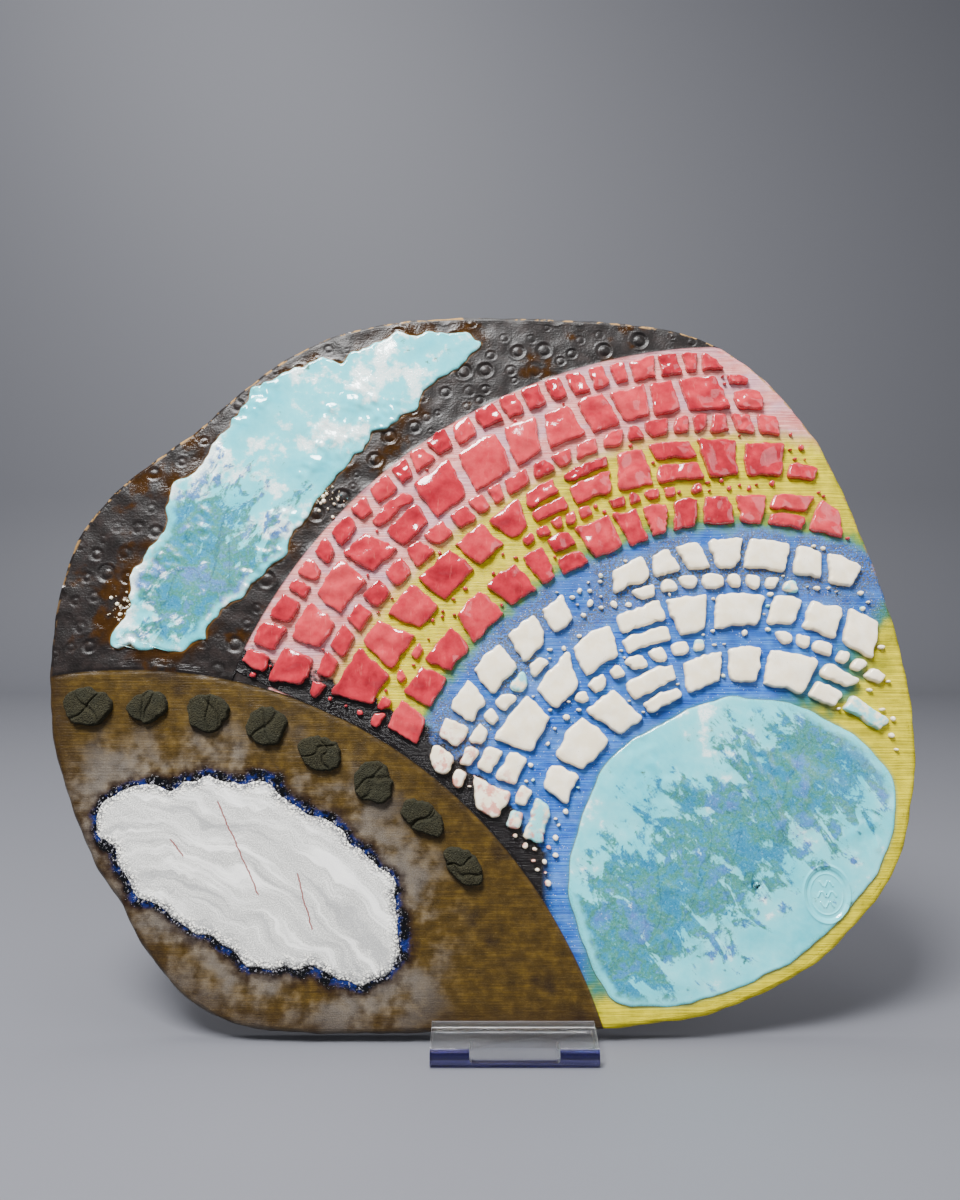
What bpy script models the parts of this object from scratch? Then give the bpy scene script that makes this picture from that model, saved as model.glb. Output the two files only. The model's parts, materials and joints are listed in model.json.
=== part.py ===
"""A relief wall tile of glazed stoneware, leaning on a small clear acrylic display stand.

The tile is one fired piece: a pebble-shaped slab with clay chips, rounded pads and thick
glaze pools fused to its face, and rings and an oval seal pressed into it. The design is a
plain cobbled pattern: courses of chips curve round a centre at the lower right, and meet
a dome of bare glaze at the lower left. The stand is one strip of acrylic sheet, bent into
a lip, a front wall, a base, a back rest and a rear leg.

All sizes are in metres. X runs to the right as the face is seen, Y runs to the back and Z
is up. The origin is on the underside of the stand's base, midway along it.
"""

import math
import random

import bmesh
import bpy
from mathutils import Matrix, Vector

# The slab
TILE_WIDTH = 0.432
TILE_HEIGHT = 0.362
SLAB_THICKNESS = 0.012
FRONT_EDGE_ROUND = 0.003
BACK_EDGE_ROUND = 0.0025
LEAN_ANGLE = math.radians(10.0)
TILE_OFFSET = -0.0155

# The slab's edge, as shares of its width from the middle and of its height from the foot
EDGE_POINTS = (
    (0.000, -0.001), (0.100, -0.001), (0.180, 0.007), (0.250, 0.019), (0.306, 0.044),
    (0.351, 0.069), (0.392, 0.103), (0.443, 0.165), (0.468, 0.208), (0.486, 0.270),
    (0.499, 0.360), (0.494, 0.470), (0.476, 0.575), (0.446, 0.690), (0.409, 0.800),
    (0.352, 0.892), (0.312, 0.932), (0.262, 0.965), (0.180, 0.984), (0.060, 0.992),
    (-0.036, 0.993), (-0.130, 0.981), (-0.200, 0.954), (-0.262, 0.908), (-0.314, 0.852),
    (-0.350, 0.811), (-0.410, 0.757), (-0.456, 0.700), (-0.482, 0.644), (-0.497, 0.560),
    (-0.499, 0.465), (-0.489, 0.370), (-0.463, 0.286), (-0.432, 0.209), (-0.402, 0.163),
    (-0.380, 0.117), (-0.340, 0.059), (-0.292, 0.018), (-0.225, -0.001), (-0.120, -0.004),
)
EDGE_STEPS = 2

# The fan: bands of chips round a pool at the lower right
FAN_ACROSS = 0.308
FAN_UP = 0.182
FAN_POOL_RADIUS = 0.090
POOL_BORDER = 0.004
CREAM_BAND_DEPTH = 0.082
YELLOW_BAND_DEPTH = 0.050
PINK_BAND_DEPTH = 0.050
SAND_WIDTH = 0.004

# The courses of each band: share of the band's depth, chip length and seed of the hand's draw
CREAM_COURSES = ((22, 0.0215, 11), (9, 0.0095, 12), (22, 0.0240, 13), (9, 0.0105, 14), (18, 0.0190, 15))
YELLOW_COURSES = ((20, 0.0175, 21), (7, 0.0085, 22), (21, 0.0210, 23))
PINK_COURSES = ((11, 0.0120, 24), (22, 0.0205, 25), (13, 0.0130, 26))

# How the chips are cut by hand: shares of a chip's own length, depth or size
CREAM_JOINT = 0.0032
CORAL_JOINT = 0.0022
SMALLEST_CHIP = 0.0042
MITRED_LENGTH = 0.015
CHIP_LENGTHS = (0.72, 1.34)
SPLIT_CHANCE = 0.25
SPLIT_PLACES = (0.42, 0.60)
HAND_CUT = 0.20
JOINT_SLANT = 0.16
COURSE_WAVE = 0.0016
WAVES_ROUND = 7.0
WAVE_SPACING = 0.0111

# The dome of bare glaze at the lower left, round a centre below the slab
DOME_ACROSS = -0.405
DOME_UP = -0.207
DOME_RADIUS = 0.245

# The row of pads inside the dome's edge
PAD_LENGTH = 0.025
PAD_BREADTH = 0.0175
PAD_GAP = 0.0045
PAD_INSET = 0.0085
PAD_SIZES = (0.85, 1.15)
PAD_SHIFT = 0.002
PAD_WAVE = 0.07
PAD_POINTS = 10
PADS_START = math.radians(42.0)
PADS_END = math.radians(95.0)

# The glaze pools
POOL_POINTS = 38
ROUND_POOL_WAVE = 0.012
CRACKLE_HALF_WIDTH = 0.038
CRACKLE_GAP = 0.016
CRACKLE_WAVE = 0.07
CRACKLE_START = math.radians(36.0)
CRACKLE_END = math.radians(96.0)
CRESCENT_HALF_WIDTH = 0.031
CRESCENT_GAP = 0.013
CRESCENT_WAVE = 0.10
CRESCENT_START = math.radians(110.0)
CRESCENT_END = math.radians(168.0)
CRESCENT_TAPER = 0.55

# Rings and the oval seal, with the seal's place measured from the fan's centre
STAMP_RADIUS = 0.0040
STAMP_SIZES = (0.72, 1.15)
STAMP_SPACING = 0.0140
STAMP_SHIFT = 0.16
STAMP_SIDES = 8
STAMP_MARGIN = 0.0012
STAMP_TO_POOL = 0.0032
SEAL_ACROSS = 0.0333
SEAL_DOWN = 0.0036
SEAL_HALF_WIDTH = 0.0105
SEAL_HALF_HEIGHT = 0.0125
SEAL_SIDES = 16

# How far each thing stands proud of the face, or is pressed into it
CREAM_HEIGHT = 0.0030
CORAL_HEIGHT = 0.0026
PAD_HEIGHT = 0.0034
POOL_HEIGHT = 0.0014
CRACKLE_HEIGHT = 0.0011
STAMP_DEPTH = 0.0009
SEAL_DEPTH = 0.0008
CHIP_SHOULDER = 0.0008
ROOT_DEPTH = 0.0015

# Margins kept on the face
RIM_MARGIN = 0.0045
DOME_MARGIN = 0.004
LIP_MARGIN = 0.004

# The stand
STAND_WIDTH = 0.076
SHEET_THICKNESS = 0.003
FRONT_REACH = 0.0235
FRONT_CLEAR_HEIGHT = 0.0028
LIP_RISE = 0.0028
BACK_REST_LENGTH = 0.150
REAR_LEG_REACH = 0.072
BEND_INSIDE = 0.0011
SEAT_BEND_INSIDE = 0.0005
TOP_BEND_INSIDE = 0.0045
BEND_STEPS = 5
TOUCH_GAP = 0.0003

# The window cut through the stand's brow, down into the wall and back into the lip
WINDOW_MARGIN = 0.01775
WINDOW_DOWN = 0.0062
WINDOW_BACK = 0.0068
WINDOW_CORNER = 0.0018
WINDOW_CORNER_STEPS = 3


def clear_scene():
    """Remove whatever the scene holds."""
    for item in list(bpy.data.objects):
        bpy.data.objects.remove(item, do_unlink=True)


def finish(name, colour, roughness, transmission=0.0):
    """Return a plain material of one colour."""
    material = bpy.data.materials.new(name)
    material.use_nodes = True
    shader = material.node_tree.nodes["Principled BSDF"]
    shader.inputs["Base Color"].default_value = (*colour, 1.0)
    shader.inputs["Roughness"].default_value = roughness
    shader.inputs["Metallic"].default_value = 0.0
    shader.inputs["Transmission Weight"].default_value = transmission
    material.diffuse_color = (*colour, 1.0)
    return material


# Flat outlines, as lists of points on the tile's face

def smooth_loop(points, steps):
    """Return a closed curve through the points, with steps pieces from each to the next."""
    count = len(points)
    curve = []
    for index in range(count):
        before = points[index - 1]
        start = points[index]
        end = points[(index + 1) % count]
        after = points[(index + 2) % count]
        for step in range(steps):
            t = step / steps
            curve.append(
                0.5 * (2 * start + (end - before) * t
                       + (2 * before - 5 * start + 4 * end - after) * t * t
                       + (3 * start - before - 3 * end + after) * t ** 3)
            )
    return curve


def signed_area(loop):
    """Return the loop's area, positive when it runs anticlockwise."""
    total = 0.0
    for index, point in enumerate(loop):
        total += loop[index - 1].x * point.y - point.x * loop[index - 1].y
    return total / 2


def middle_of(loop):
    """Return the mean of the loop's points."""
    return sum(loop, Vector((0.0, 0.0))) / len(loop)


def shrink(loop, distance):
    """Move each side of an anticlockwise loop inwards by the distance."""
    count = len(loop)
    moved = []
    for index, point in enumerate(loop):
        back = (point - loop[index - 1]).normalized()
        ahead = (loop[(index + 1) % count] - point).normalized()
        back_normal = Vector((-back.y, back.x))
        ahead_normal = Vector((-ahead.y, ahead.x))
        spread = max(0.35, 1 + back_normal.dot(ahead_normal))
        moved.append(point + (back_normal + ahead_normal) * (distance / spread))
    return moved


def polar(centre, radius, angle):
    """Return the point at a radius and angle from a centre."""
    return centre + Vector((math.cos(angle), math.sin(angle))) * radius


def surrounds(loop, point):
    """Say whether the point lies inside the loop."""
    inside = False
    for index, end in enumerate(loop):
        start = loop[index - 1]
        if (start.y > point.y) != (end.y > point.y):
            crossing = start.x + (point.y - start.y) / (end.y - start.y) * (end.x - start.x)
            inside = inside != (point.x < crossing)
    return inside


class Face:
    """The tile's face: its edge, and the places where the relief may stand."""

    def __init__(self):
        corners = [Vector((x * TILE_WIDTH, y * TILE_HEIGHT)) for x, y in EDGE_POINTS]
        self.edge = smooth_loop(corners, EDGE_STEPS)
        self.fan = Vector((FAN_ACROSS * TILE_WIDTH, FAN_UP * TILE_HEIGHT))
        self.dome = Vector((DOME_ACROSS * TILE_WIDTH, DOME_UP * TILE_HEIGHT))

    def rim_distance(self, point):
        """Return how far inside the slab's edge a point is, or a negative distance outside."""
        nearest = math.inf
        for index, end in enumerate(self.edge):
            start = self.edge[index - 1]
            along = end - start
            share = max(0.0, min(1.0, (point - start).dot(along) / along.length_squared))
            nearest = min(nearest, (point - start - along * share).length)
        return nearest if surrounds(self.edge, point) else -nearest

    def clear_of_lip(self, point):
        """Say whether a point is outside the part of the face behind the stand's lip."""
        across = abs(point.x + TILE_OFFSET)
        lip_top = SHEET_THICKNESS * 2 + FRONT_CLEAR_HEIGHT + LIP_RISE
        return across > STAND_WIDTH / 2 + LIP_MARGIN or point.y > lip_top + LIP_MARGIN

    def on_face(self, point):
        """Say whether a point is on the flat of the face, with nothing before it."""
        return self.clear_of_lip(point) and self.rim_distance(point) > FRONT_EDGE_ROUND + RIM_MARGIN

    def outside_dome(self, point):
        """Say whether a point is on the face and outside the dome."""
        return (point - self.dome).length > DOME_RADIUS + DOME_MARGIN and self.on_face(point)


def pull_inside(loop, allows):
    """Draw the points that aren't allowed towards the loop's middle until they are."""
    middle = middle_of(loop)
    if not allows(middle):
        return None
    pulled = []
    for point in loop:
        if not allows(point):
            inner = 0.0
            outer = 1.0
            for _ in range(10):
                share = (inner + outer) / 2
                if allows(middle.lerp(point, share)):
                    inner = share
                else:
                    outer = share
            point = middle.lerp(point, inner)
        pulled.append(point)
    return pulled


def narrowest(loop):
    """Return the least distance from the loop's middle to one of its sides."""
    middle = middle_of(loop)
    least = math.inf
    for index, end in enumerate(loop):
        start = loop[index - 1]
        along = end - start
        if along.length < SMALLEST_CHIP / 8:
            return 0.0
        towards = middle - start
        least = min(least, (along.x * towards.y - along.y * towards.x) / along.length)
    return least


def hand_cut_cell(centre, low, high, sides, joint, rng):
    """Return the outline of one chip, cut by eye from its place in a course."""
    left, right = sides
    places = [(low, left(low)), (high, left(high)), (high, right(high)), (low, right(low))]
    if (right(high) - left(high)) * high > MITRED_LENGTH:
        places.append((low, (left(low) + right(low)) / 2))
        places.insert(2, (high, (left(high) + right(high)) / 2))
    cell = []
    for radius, angle in places:
        wave = COURSE_WAVE * math.sin(WAVES_ROUND * angle + radius / WAVE_SPACING)
        cell.append(polar(centre, radius + wave, angle))
    cell = shrink(cell, joint / 2)
    heart = middle_of(cell)
    return [point.lerp(heart, rng.uniform(0.0, HAND_CUT)) for point in cell]


def slanted_joint(inner, outer, angle, slant):
    """Return the line between two chips, as its angle at a radius of their course."""
    return lambda radius: angle + slant * (2 * (radius - inner) / (outer - inner) - 1)


def chip_course(centre, inner, outer, chip_length, joint, allows, seed):
    """Return the outlines of one curved course of chips."""
    rng = random.Random(seed)
    step = chip_length / ((inner + outer) / 2)
    angle = rng.uniform(0.0, step)
    last = angle + math.tau
    side = slanted_joint(inner, outer, angle, 0.0)
    chips = []
    while angle < last:
        angle = min(angle + step * rng.uniform(*CHIP_LENGTHS), last)
        slant = step * rng.uniform(-JOINT_SLANT, JOINT_SLANT) if angle < last else 0.0
        next_side = slanted_joint(inner, outer, angle, slant)
        cuts = [(inner, outer)]
        if outer - inner > 4 * SMALLEST_CHIP and rng.random() < SPLIT_CHANCE:
            split = inner + (outer - inner) * rng.uniform(*SPLIT_PLACES)
            cuts = [(inner, split), (split, outer)]
        for low, high in cuts:
            cell = hand_cut_cell(centre, low, high, (side, next_side), joint, rng)
            chip = pull_inside(cell, allows)
            if chip and narrowest(chip) > SMALLEST_CHIP / 2:
                chips.append(chip)
        side = next_side
    return chips


def chip_band(face, start, depth, joint, courses):
    """Return the chips of a band of courses, each a share of its depth."""
    total = sum(share for share, _, _ in courses)
    chips = []
    inner = start
    for share, chip_length, seed in courses:
        outer = inner + depth * share / total
        chips += chip_course(
            face.fan, inner, outer, chip_length, joint, face.outside_dome, seed)
        inner = outer
    return chips


def wavy_loop(centre, half_width, half_height, turn, wave, points, rng, allows):
    """Return a rounded blob with an uneven edge, kept to where it is allowed."""
    phases = [rng.uniform(0.0, math.tau) for _ in range(4)]
    loop = []
    for index in range(points):
        angle = math.tau * index / points
        swell = sum(
            math.sin((k + 2) * angle + phase) / (k + 1) for k, phase in enumerate(phases))
        reach = 1 + wave * swell
        place = Vector((half_width * math.cos(angle), half_height * math.sin(angle))) * reach
        loop.append(centre + Matrix.Rotation(turn, 2) @ place)
    return pull_inside(loop, allows)


def crescent(centre, radius, half_width, start, end, wave, points, rng, allows):
    """Return a crescent that follows an arc, swelling in its middle, with an uneven edge."""
    phases = [rng.uniform(0.0, math.tau) for _ in range(4)]
    sides = []
    for side in (1, -1):
        row = []
        for index in range(points // 2):
            share = (index + 0.5) / (points // 2)
            angle = start + (end - start) * share
            swell = sum(
                math.sin((3 * k + 5) * share + phase + side) for k, phase in enumerate(phases))
            width = half_width * math.sin(math.pi * share) ** CRESCENT_TAPER * (1 + wave * swell)
            spine = polar(centre, radius, angle)
            point = polar(centre, radius + side * width, angle)
            while not allows(point) and (point - spine).length > SMALLEST_CHIP / 4:
                point = point.lerp(spine, 0.1)
            if allows(point):
                row.append(point)
        sides.append(row)
    return sides[0] + sides[1][::-1]


# The relief of the tile's face, as groups of outlines

def cream_chips(face):
    """Large and small cream chips on the fan's blue ground, with a sandy strip past them."""
    start = FAN_POOL_RADIUS + POOL_BORDER + CREAM_JOINT / 2
    depth = CREAM_BAND_DEPTH - SAND_WIDTH - CREAM_JOINT / 2
    return chip_band(face, start, depth, CREAM_JOINT, CREAM_COURSES)


def coral_chips(face):
    """Coral chips on the fan's yellow ground, and on its pink ground."""
    start = FAN_POOL_RADIUS + POOL_BORDER + CREAM_BAND_DEPTH
    chips = []
    for depth, courses in ((YELLOW_BAND_DEPTH, YELLOW_COURSES), (PINK_BAND_DEPTH, PINK_COURSES)):
        chips += chip_band(
            face, start + CORAL_JOINT / 2, depth - CORAL_JOINT / 2, CORAL_JOINT, courses)
        start += depth
    return chips


def fan_radius():
    """Return the radius at which the fan's outermost band ends."""
    return (FAN_POOL_RADIUS + POOL_BORDER + CREAM_BAND_DEPTH
            + YELLOW_BAND_DEPTH + PINK_BAND_DEPTH)


def pad_row_radius():
    """Return the radius of the row of pads, which keeps its inset from the dome's edge."""
    return DOME_RADIUS - PAD_INSET - PAD_BREADTH / 2 * PAD_SIZES[1]


def charcoal_pads(face):
    """A row of rounded pads of coarse clay just inside the dome's edge."""
    rng = random.Random(31)
    pads = []
    row = pad_row_radius() * (PADS_END - PADS_START)
    count = int(row / (PAD_LENGTH + PAD_GAP)) + 1
    for index in range(count):
        angle = PADS_START + (PADS_END - PADS_START) * index / max(1, count - 1)
        centre = polar(face.dome, pad_row_radius() + rng.uniform(-PAD_SHIFT, PAD_SHIFT), angle)
        breadth = PAD_BREADTH / 2 * rng.uniform(*PAD_SIZES)
        length = PAD_LENGTH / 2 * rng.uniform(PAD_SIZES[0], 1.0)
        pad = wavy_loop(centre, breadth, length, angle, PAD_WAVE, PAD_POINTS, rng, face.on_face)
        if pad and narrowest(pad) > SMALLEST_CHIP:
            pads.append(pad)
    return pads


def turquoise_pools(face):
    """The round pool at the fan's centre, and the crescent pool among the rings."""
    rng = random.Random(42)
    round_pool = wavy_loop(
        face.fan, FAN_POOL_RADIUS, FAN_POOL_RADIUS, 0.0, ROUND_POOL_WAVE, POOL_POINTS, rng,
        face.outside_dome)
    crescent_pool = crescent(
        face.fan, fan_radius() + CRESCENT_GAP + CRESCENT_HALF_WIDTH, CRESCENT_HALF_WIDTH,
        CRESCENT_START, CRESCENT_END, CRESCENT_WAVE, POOL_POINTS, rng, face.outside_dome)
    return [round_pool, crescent_pool]


def crackle_pool(face):
    """The white crackled pool, a crescent that follows the dome's edge inside the pads."""
    rng = random.Random(53)
    pads_inner = pad_row_radius() - PAD_BREADTH / 2 * PAD_SIZES[1]
    return [crescent(
        face.dome, pads_inner - CRACKLE_GAP - CRACKLE_HALF_WIDTH, CRACKLE_HALF_WIDTH,
        CRACKLE_START, CRACKLE_END, CRACKLE_WAVE, POOL_POINTS, rng, face.on_face)]


def ring_stamps(face, pools):
    """Small rings pressed all over the dark ground outside the fan."""
    rng = random.Random(64)
    row_step = STAMP_SPACING * math.sqrt(3) / 2
    rows = int(TILE_HEIGHT / row_step)
    columns = int(TILE_WIDTH / STAMP_SPACING) + 2
    stamps = []
    for row in range(rows):
        for column in range(columns):
            across = (column + row % 2 / 2) * STAMP_SPACING - TILE_WIDTH / 2
            shift = Vector((rng.uniform(-1, 1), rng.uniform(-1, 1))) * STAMP_SPACING * STAMP_SHIFT
            centre = Vector((across, row * row_step)) + shift
            radius = STAMP_RADIUS * rng.uniform(*STAMP_SIZES)
            turn = rng.uniform(0.0, 1.0)
            beyond_fan = (centre - face.fan).length > fan_radius() + radius + STAMP_MARGIN
            on_flat = face.rim_distance(centre) > FRONT_EDGE_ROUND + RIM_MARGIN + radius
            if not (beyond_fan and on_flat and face.outside_dome(centre)):
                continue
            to_pool = min((point - centre).length for pool in pools for point in pool)
            in_pool = any(surrounds(pool, centre) for pool in pools)
            if to_pool > radius + STAMP_TO_POOL and not in_pool:
                stamps.append([polar(centre, radius, turn + math.tau * k / STAMP_SIDES)
                               for k in range(STAMP_SIDES)])
    return stamps


def seal_outline(face):
    """The oval seal in the round pool."""
    centre = face.fan + Vector((SEAL_ACROSS, -SEAL_DOWN))
    oval = []
    for index in range(SEAL_SIDES):
        angle = math.tau * index / SEAL_SIDES
        reach = Vector((SEAL_HALF_WIDTH * math.cos(angle), SEAL_HALF_HEIGHT * math.sin(angle)))
        oval.append(centre + reach)
    return oval


# Solids raised from the outlines

def loft(rings, bm=None):
    """Join rings of points, lowest first, and close both ends."""
    bm = bm or bmesh.new()
    rows = [[bm.verts.new(point) for point in ring] for ring in rings]
    count = len(rows[0])
    for low, high in zip(rows, rows[1:]):
        for index in range(count):
            after = (index + 1) % count
            bm.faces.new((low[index], low[after], high[after], high[index]))
    bm.faces.new(rows[0][::-1])
    bm.faces.new(rows[-1])
    return bm


def at_depth(loop, depth):
    """Lift a flat outline to a depth measured from the tile's back."""
    return [Vector((point.x, point.y, depth)) for point in loop]


def slab_solid(face):
    """The plain slab with its rounded edges."""
    half_round = FRONT_EDGE_ROUND * (1 - math.sqrt(0.5))
    rings = [
        at_depth(shrink(face.edge, BACK_EDGE_ROUND), 0.0),
        at_depth(face.edge, BACK_EDGE_ROUND),
        at_depth(face.edge, SLAB_THICKNESS - FRONT_EDGE_ROUND),
        at_depth(shrink(face.edge, half_round), SLAB_THICKNESS - half_round),
        at_depth(shrink(face.edge, FRONT_EDGE_ROUND), SLAB_THICKNESS),
    ]
    return loft(rings)


def raise_pieces(bm, outlines, height):
    """Add a solid for each outline, rooted in the slab and eased round its top."""
    shoulder = min(CHIP_SHOULDER, SMALLEST_CHIP / 3)
    for outline in outlines:
        loop = outline if signed_area(outline) > 0 else outline[::-1]
        loft([
            at_depth(loop, SLAB_THICKNESS - ROOT_DEPTH),
            at_depth(loop, SLAB_THICKNESS + height - shoulder),
            at_depth(shrink(loop, shoulder), SLAB_THICKNESS + height),
        ], bm)


def relief_solid(face, pools):
    """Everything that stands proud of the face."""
    relief = bmesh.new()
    raise_pieces(relief, cream_chips(face), CREAM_HEIGHT)
    raise_pieces(relief, coral_chips(face), CORAL_HEIGHT)
    raise_pieces(relief, charcoal_pads(face), PAD_HEIGHT)
    raise_pieces(relief, pools, POOL_HEIGHT)
    raise_pieces(relief, crackle_pool(face), CRACKLE_HEIGHT)
    return relief


def press_solid(face, pools):
    """The rings and the seal, as the tools that press them in."""
    presses = bmesh.new()
    taper = min(STAMP_DEPTH, STAMP_RADIUS / 2)
    above = SLAB_THICKNESS + CREAM_HEIGHT
    for stamp in ring_stamps(face, pools):
        loft([
            at_depth(shrink(stamp, taper), SLAB_THICKNESS - STAMP_DEPTH),
            at_depth(stamp, SLAB_THICKNESS),
            at_depth(stamp, above),
        ], presses)
    seal = seal_outline(face)
    loft([at_depth(seal, SLAB_THICKNESS + POOL_HEIGHT - SEAL_DEPTH), at_depth(seal, above)], presses)
    return presses


def new_object(name, bm, place, material=None):
    """Turn a mesh being built into an object at its place."""
    bmesh.ops.recalc_face_normals(bm, faces=bm.faces)
    mesh = bpy.data.meshes.new(name)
    bm.to_mesh(mesh)
    bm.free()
    item = bpy.data.objects.new(name, mesh)
    item.matrix_world = place
    bpy.context.scene.collection.objects.link(item)
    if material:
        mesh.materials.append(material)
    return item


def cut_or_join(item, tool, operation):
    """Give an object a Boolean with another object, which is then only a guide."""
    tool.hide_render = True
    tool.display_type = "WIRE"
    modifier = item.modifiers.new(tool.name, "BOOLEAN")
    modifier.operation = operation
    modifier.solver = "EXACT"
    modifier.object = tool


def build_tile(face, place):
    """Make the tile: the slab, what stands on its face and what is pressed into it."""
    pools = turquoise_pools(face)
    stoneware = finish("glazed_stoneware", (0.30, 0.24, 0.15), 0.35)
    tile = new_object("ceramic_tile", slab_solid(face), place, stoneware)
    cut_or_join(tile, new_object("relief_guide", relief_solid(face, pools), place), "UNION")
    cut_or_join(tile, new_object("press_guide", press_solid(face, pools), place), "DIFFERENCE")


# The stand, as a bent strip seen from its side, with Y across and Z up

def lean_of_tile(face):
    """Return where the tile leans, with its foot on the base and over the origin's line."""
    near_stand = [point.y for point in face.edge if abs(point.x + TILE_OFFSET) < STAND_WIDTH]
    foot = min(near_stand)
    lean = Matrix.Rotation(math.pi / 2 - LEAN_ANGLE, 4, "X")
    rear_corner = lean @ Vector((0.0, foot + BACK_EDGE_ROUND, 0.0))
    foot_corner = lean @ Vector((0.0, foot, BACK_EDGE_ROUND))
    lift = SHEET_THICKNESS + TOUCH_GAP - min(rear_corner.z, foot_corner.z)
    return Matrix.Translation((TILE_OFFSET, 0.0, lift)) @ lean


def stand_corners(place):
    """Return the corners of the strip's middle line, from the lip's top to the rear foot."""
    half = SHEET_THICKNESS / 2
    foot = place @ Vector((0.0, 0.0, SLAB_THICKNESS))
    back = place @ Vector((0.0, 0.0, -TOUCH_GAP - half))
    up = Vector((math.sin(LEAN_ANGLE), math.cos(LEAN_ANGLE)))
    wall = foot.y - FRONT_REACH + half
    toe = Vector((wall, half))
    brow = Vector((wall, SHEET_THICKNESS + FRONT_CLEAR_HEIGHT + half))
    lip_underside = brow.y + LIP_RISE - half
    face_at_lip = foot.y + (lip_underside - foot.z) * math.tan(LEAN_ANGLE)
    lip = Vector((face_at_lip - TOUCH_GAP, brow.y + LIP_RISE))
    slope = (lip - brow).normalized()
    lip.x -= half * abs(slope.y)
    seat = Vector((back.y, back.z)) + up * ((half - back.z) / up.y)
    crown = seat + up * BACK_REST_LENGTH
    heel = Vector((seat.x + REAR_LEG_REACH, 0.0))
    return [lip, brow, toe, seat, crown, heel]


def rounded_path(corners, radii):
    """Return the path through the corners with each bend turned at its radius."""
    path = [corners[0]]
    for index in range(1, len(corners) - 1):
        corner = corners[index]
        back = corners[index - 1] - corner
        ahead = corners[index + 1] - corner
        half_angle = back.angle(ahead) / 2
        longest = min(back.length, ahead.length) * 0.45
        reach = min(radii[index - 1] / math.tan(half_angle), longest)
        start = corner + back.normalized() * reach
        end = corner + ahead.normalized() * reach
        outward = (back.normalized() + ahead.normalized()).normalized()
        centre = corner + outward * (reach / math.cos(half_angle))
        spoke = start - centre
        sweep = -spoke.angle_signed(end - centre)
        for step in range(BEND_STEPS + 1):
            path.append(centre + Matrix.Rotation(sweep * step / BEND_STEPS, 2) @ spoke)
    path.append(corners[-1])
    return path


def strip_sides(path):
    """Return the two sides of a strip of the sheet's thickness along a path."""
    left = []
    right = []
    for index, point in enumerate(path):
        before = path[max(index - 1, 0)]
        after = path[min(index + 1, len(path) - 1)]
        back = (point - before).normalized() if index else (after - point).normalized()
        ahead = (after - point).normalized() if index < len(path) - 1 else back
        back_normal = Vector((-back.y, back.x))
        ahead_normal = Vector((-ahead.y, ahead.x))
        spread = 1 + back_normal.dot(ahead_normal)
        offset = (back_normal + ahead_normal) * (SHEET_THICKNESS / 2 / spread)
        left.append(point + offset)
        right.append(point - offset)
    return left, right


def stand_solid(corners):
    """The bent strip, cut off level where its rear leg meets the table."""
    inside = (BEND_INSIDE, BEND_INSIDE, SEAT_BEND_INSIDE, TOP_BEND_INSIDE)
    path = rounded_path(corners, [radius + SHEET_THICKNESS / 2 for radius in inside])
    left, right = strip_sides(path)
    leg = (path[-1] - path[-2]).normalized()
    for side in (left, right):
        side[-1] = side[-1] - leg * (side[-1].y / leg.y)
    profile = left + right[::-1]
    ends = []
    for across in (-STAND_WIDTH / 2, STAND_WIDTH / 2):
        ends.append([Vector((across, point.x, point.y)) for point in profile])
    return loft(ends)


def rounded_rectangle(low, high):
    """Return an anticlockwise rectangle from its two corners, rounded like the window."""
    outline = []
    for quarter in range(4):
        x_end = high.x - WINDOW_CORNER if quarter in (0, 3) else low.x + WINDOW_CORNER
        y_end = high.y - WINDOW_CORNER if quarter in (0, 1) else low.y + WINDOW_CORNER
        for step in range(WINDOW_CORNER_STEPS + 1):
            angle = math.pi / 2 * (quarter + step / WINDOW_CORNER_STEPS)
            outline.append(polar(Vector((x_end, y_end)), WINDOW_CORNER, angle))
    return outline


def wall_window_cutter(corners):
    """The lower half of the window, a rounded notch through the stand's front wall."""
    brow = corners[1]
    half_width = STAND_WIDTH / 2 - WINDOW_MARGIN
    brow_top = brow.y + SHEET_THICKNESS / 2
    wall_front = brow.x - SHEET_THICKNESS / 2
    outline = rounded_rectangle(
        Vector((-half_width, brow_top - WINDOW_DOWN)),
        Vector((half_width, brow_top + LIP_RISE + WINDOW_CORNER)))
    return loft([
        [Vector((point.x, wall_front + reach, point.y)) for point in outline]
        for reach in (-SHEET_THICKNESS, SHEET_THICKNESS + BEND_INSIDE)
    ])


def lip_window_cutter(corners):
    """The upper half of the window, a rounded notch through the stand's lip."""
    brow = corners[1]
    half_width = STAND_WIDTH / 2 - WINDOW_MARGIN
    brow_top = brow.y + SHEET_THICKNESS / 2
    wall_front = brow.x - SHEET_THICKNESS / 2
    outline = rounded_rectangle(
        Vector((-half_width, wall_front - WINDOW_CORNER - SHEET_THICKNESS)),
        Vector((half_width, wall_front + WINDOW_BACK)))
    return loft([
        [Vector((point.x, point.y, brow_top + rise)) for point in outline]
        for rise in (-SHEET_THICKNESS - BEND_INSIDE, LIP_RISE + SHEET_THICKNESS)
    ])


def build_stand(corners, place):
    """Make the stand to fit the tile where it leans."""
    acrylic = finish("clear_acrylic", (0.9, 0.93, 0.96), 0.03, 1.0)
    stand = new_object("display_stand", stand_solid(corners), place, acrylic)
    wall_guide = new_object("wall_window_guide", wall_window_cutter(corners), place)
    lip_guide = new_object("lip_window_guide", lip_window_cutter(corners), place)
    cut_or_join(stand, wall_guide, "DIFFERENCE")
    cut_or_join(stand, lip_guide, "DIFFERENCE")


def build():
    """Make both pieces, with the middle of the stand's base at the origin."""
    clear_scene()
    face = Face()
    lean = lean_of_tile(face)
    corners = stand_corners(lean)
    to_origin = Matrix.Translation((0.0, -(corners[2].x + corners[3].x) / 2, 0.0))
    build_tile(face, to_origin @ lean)
    build_stand(corners, to_origin)


build()
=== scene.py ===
import json
import math

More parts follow.
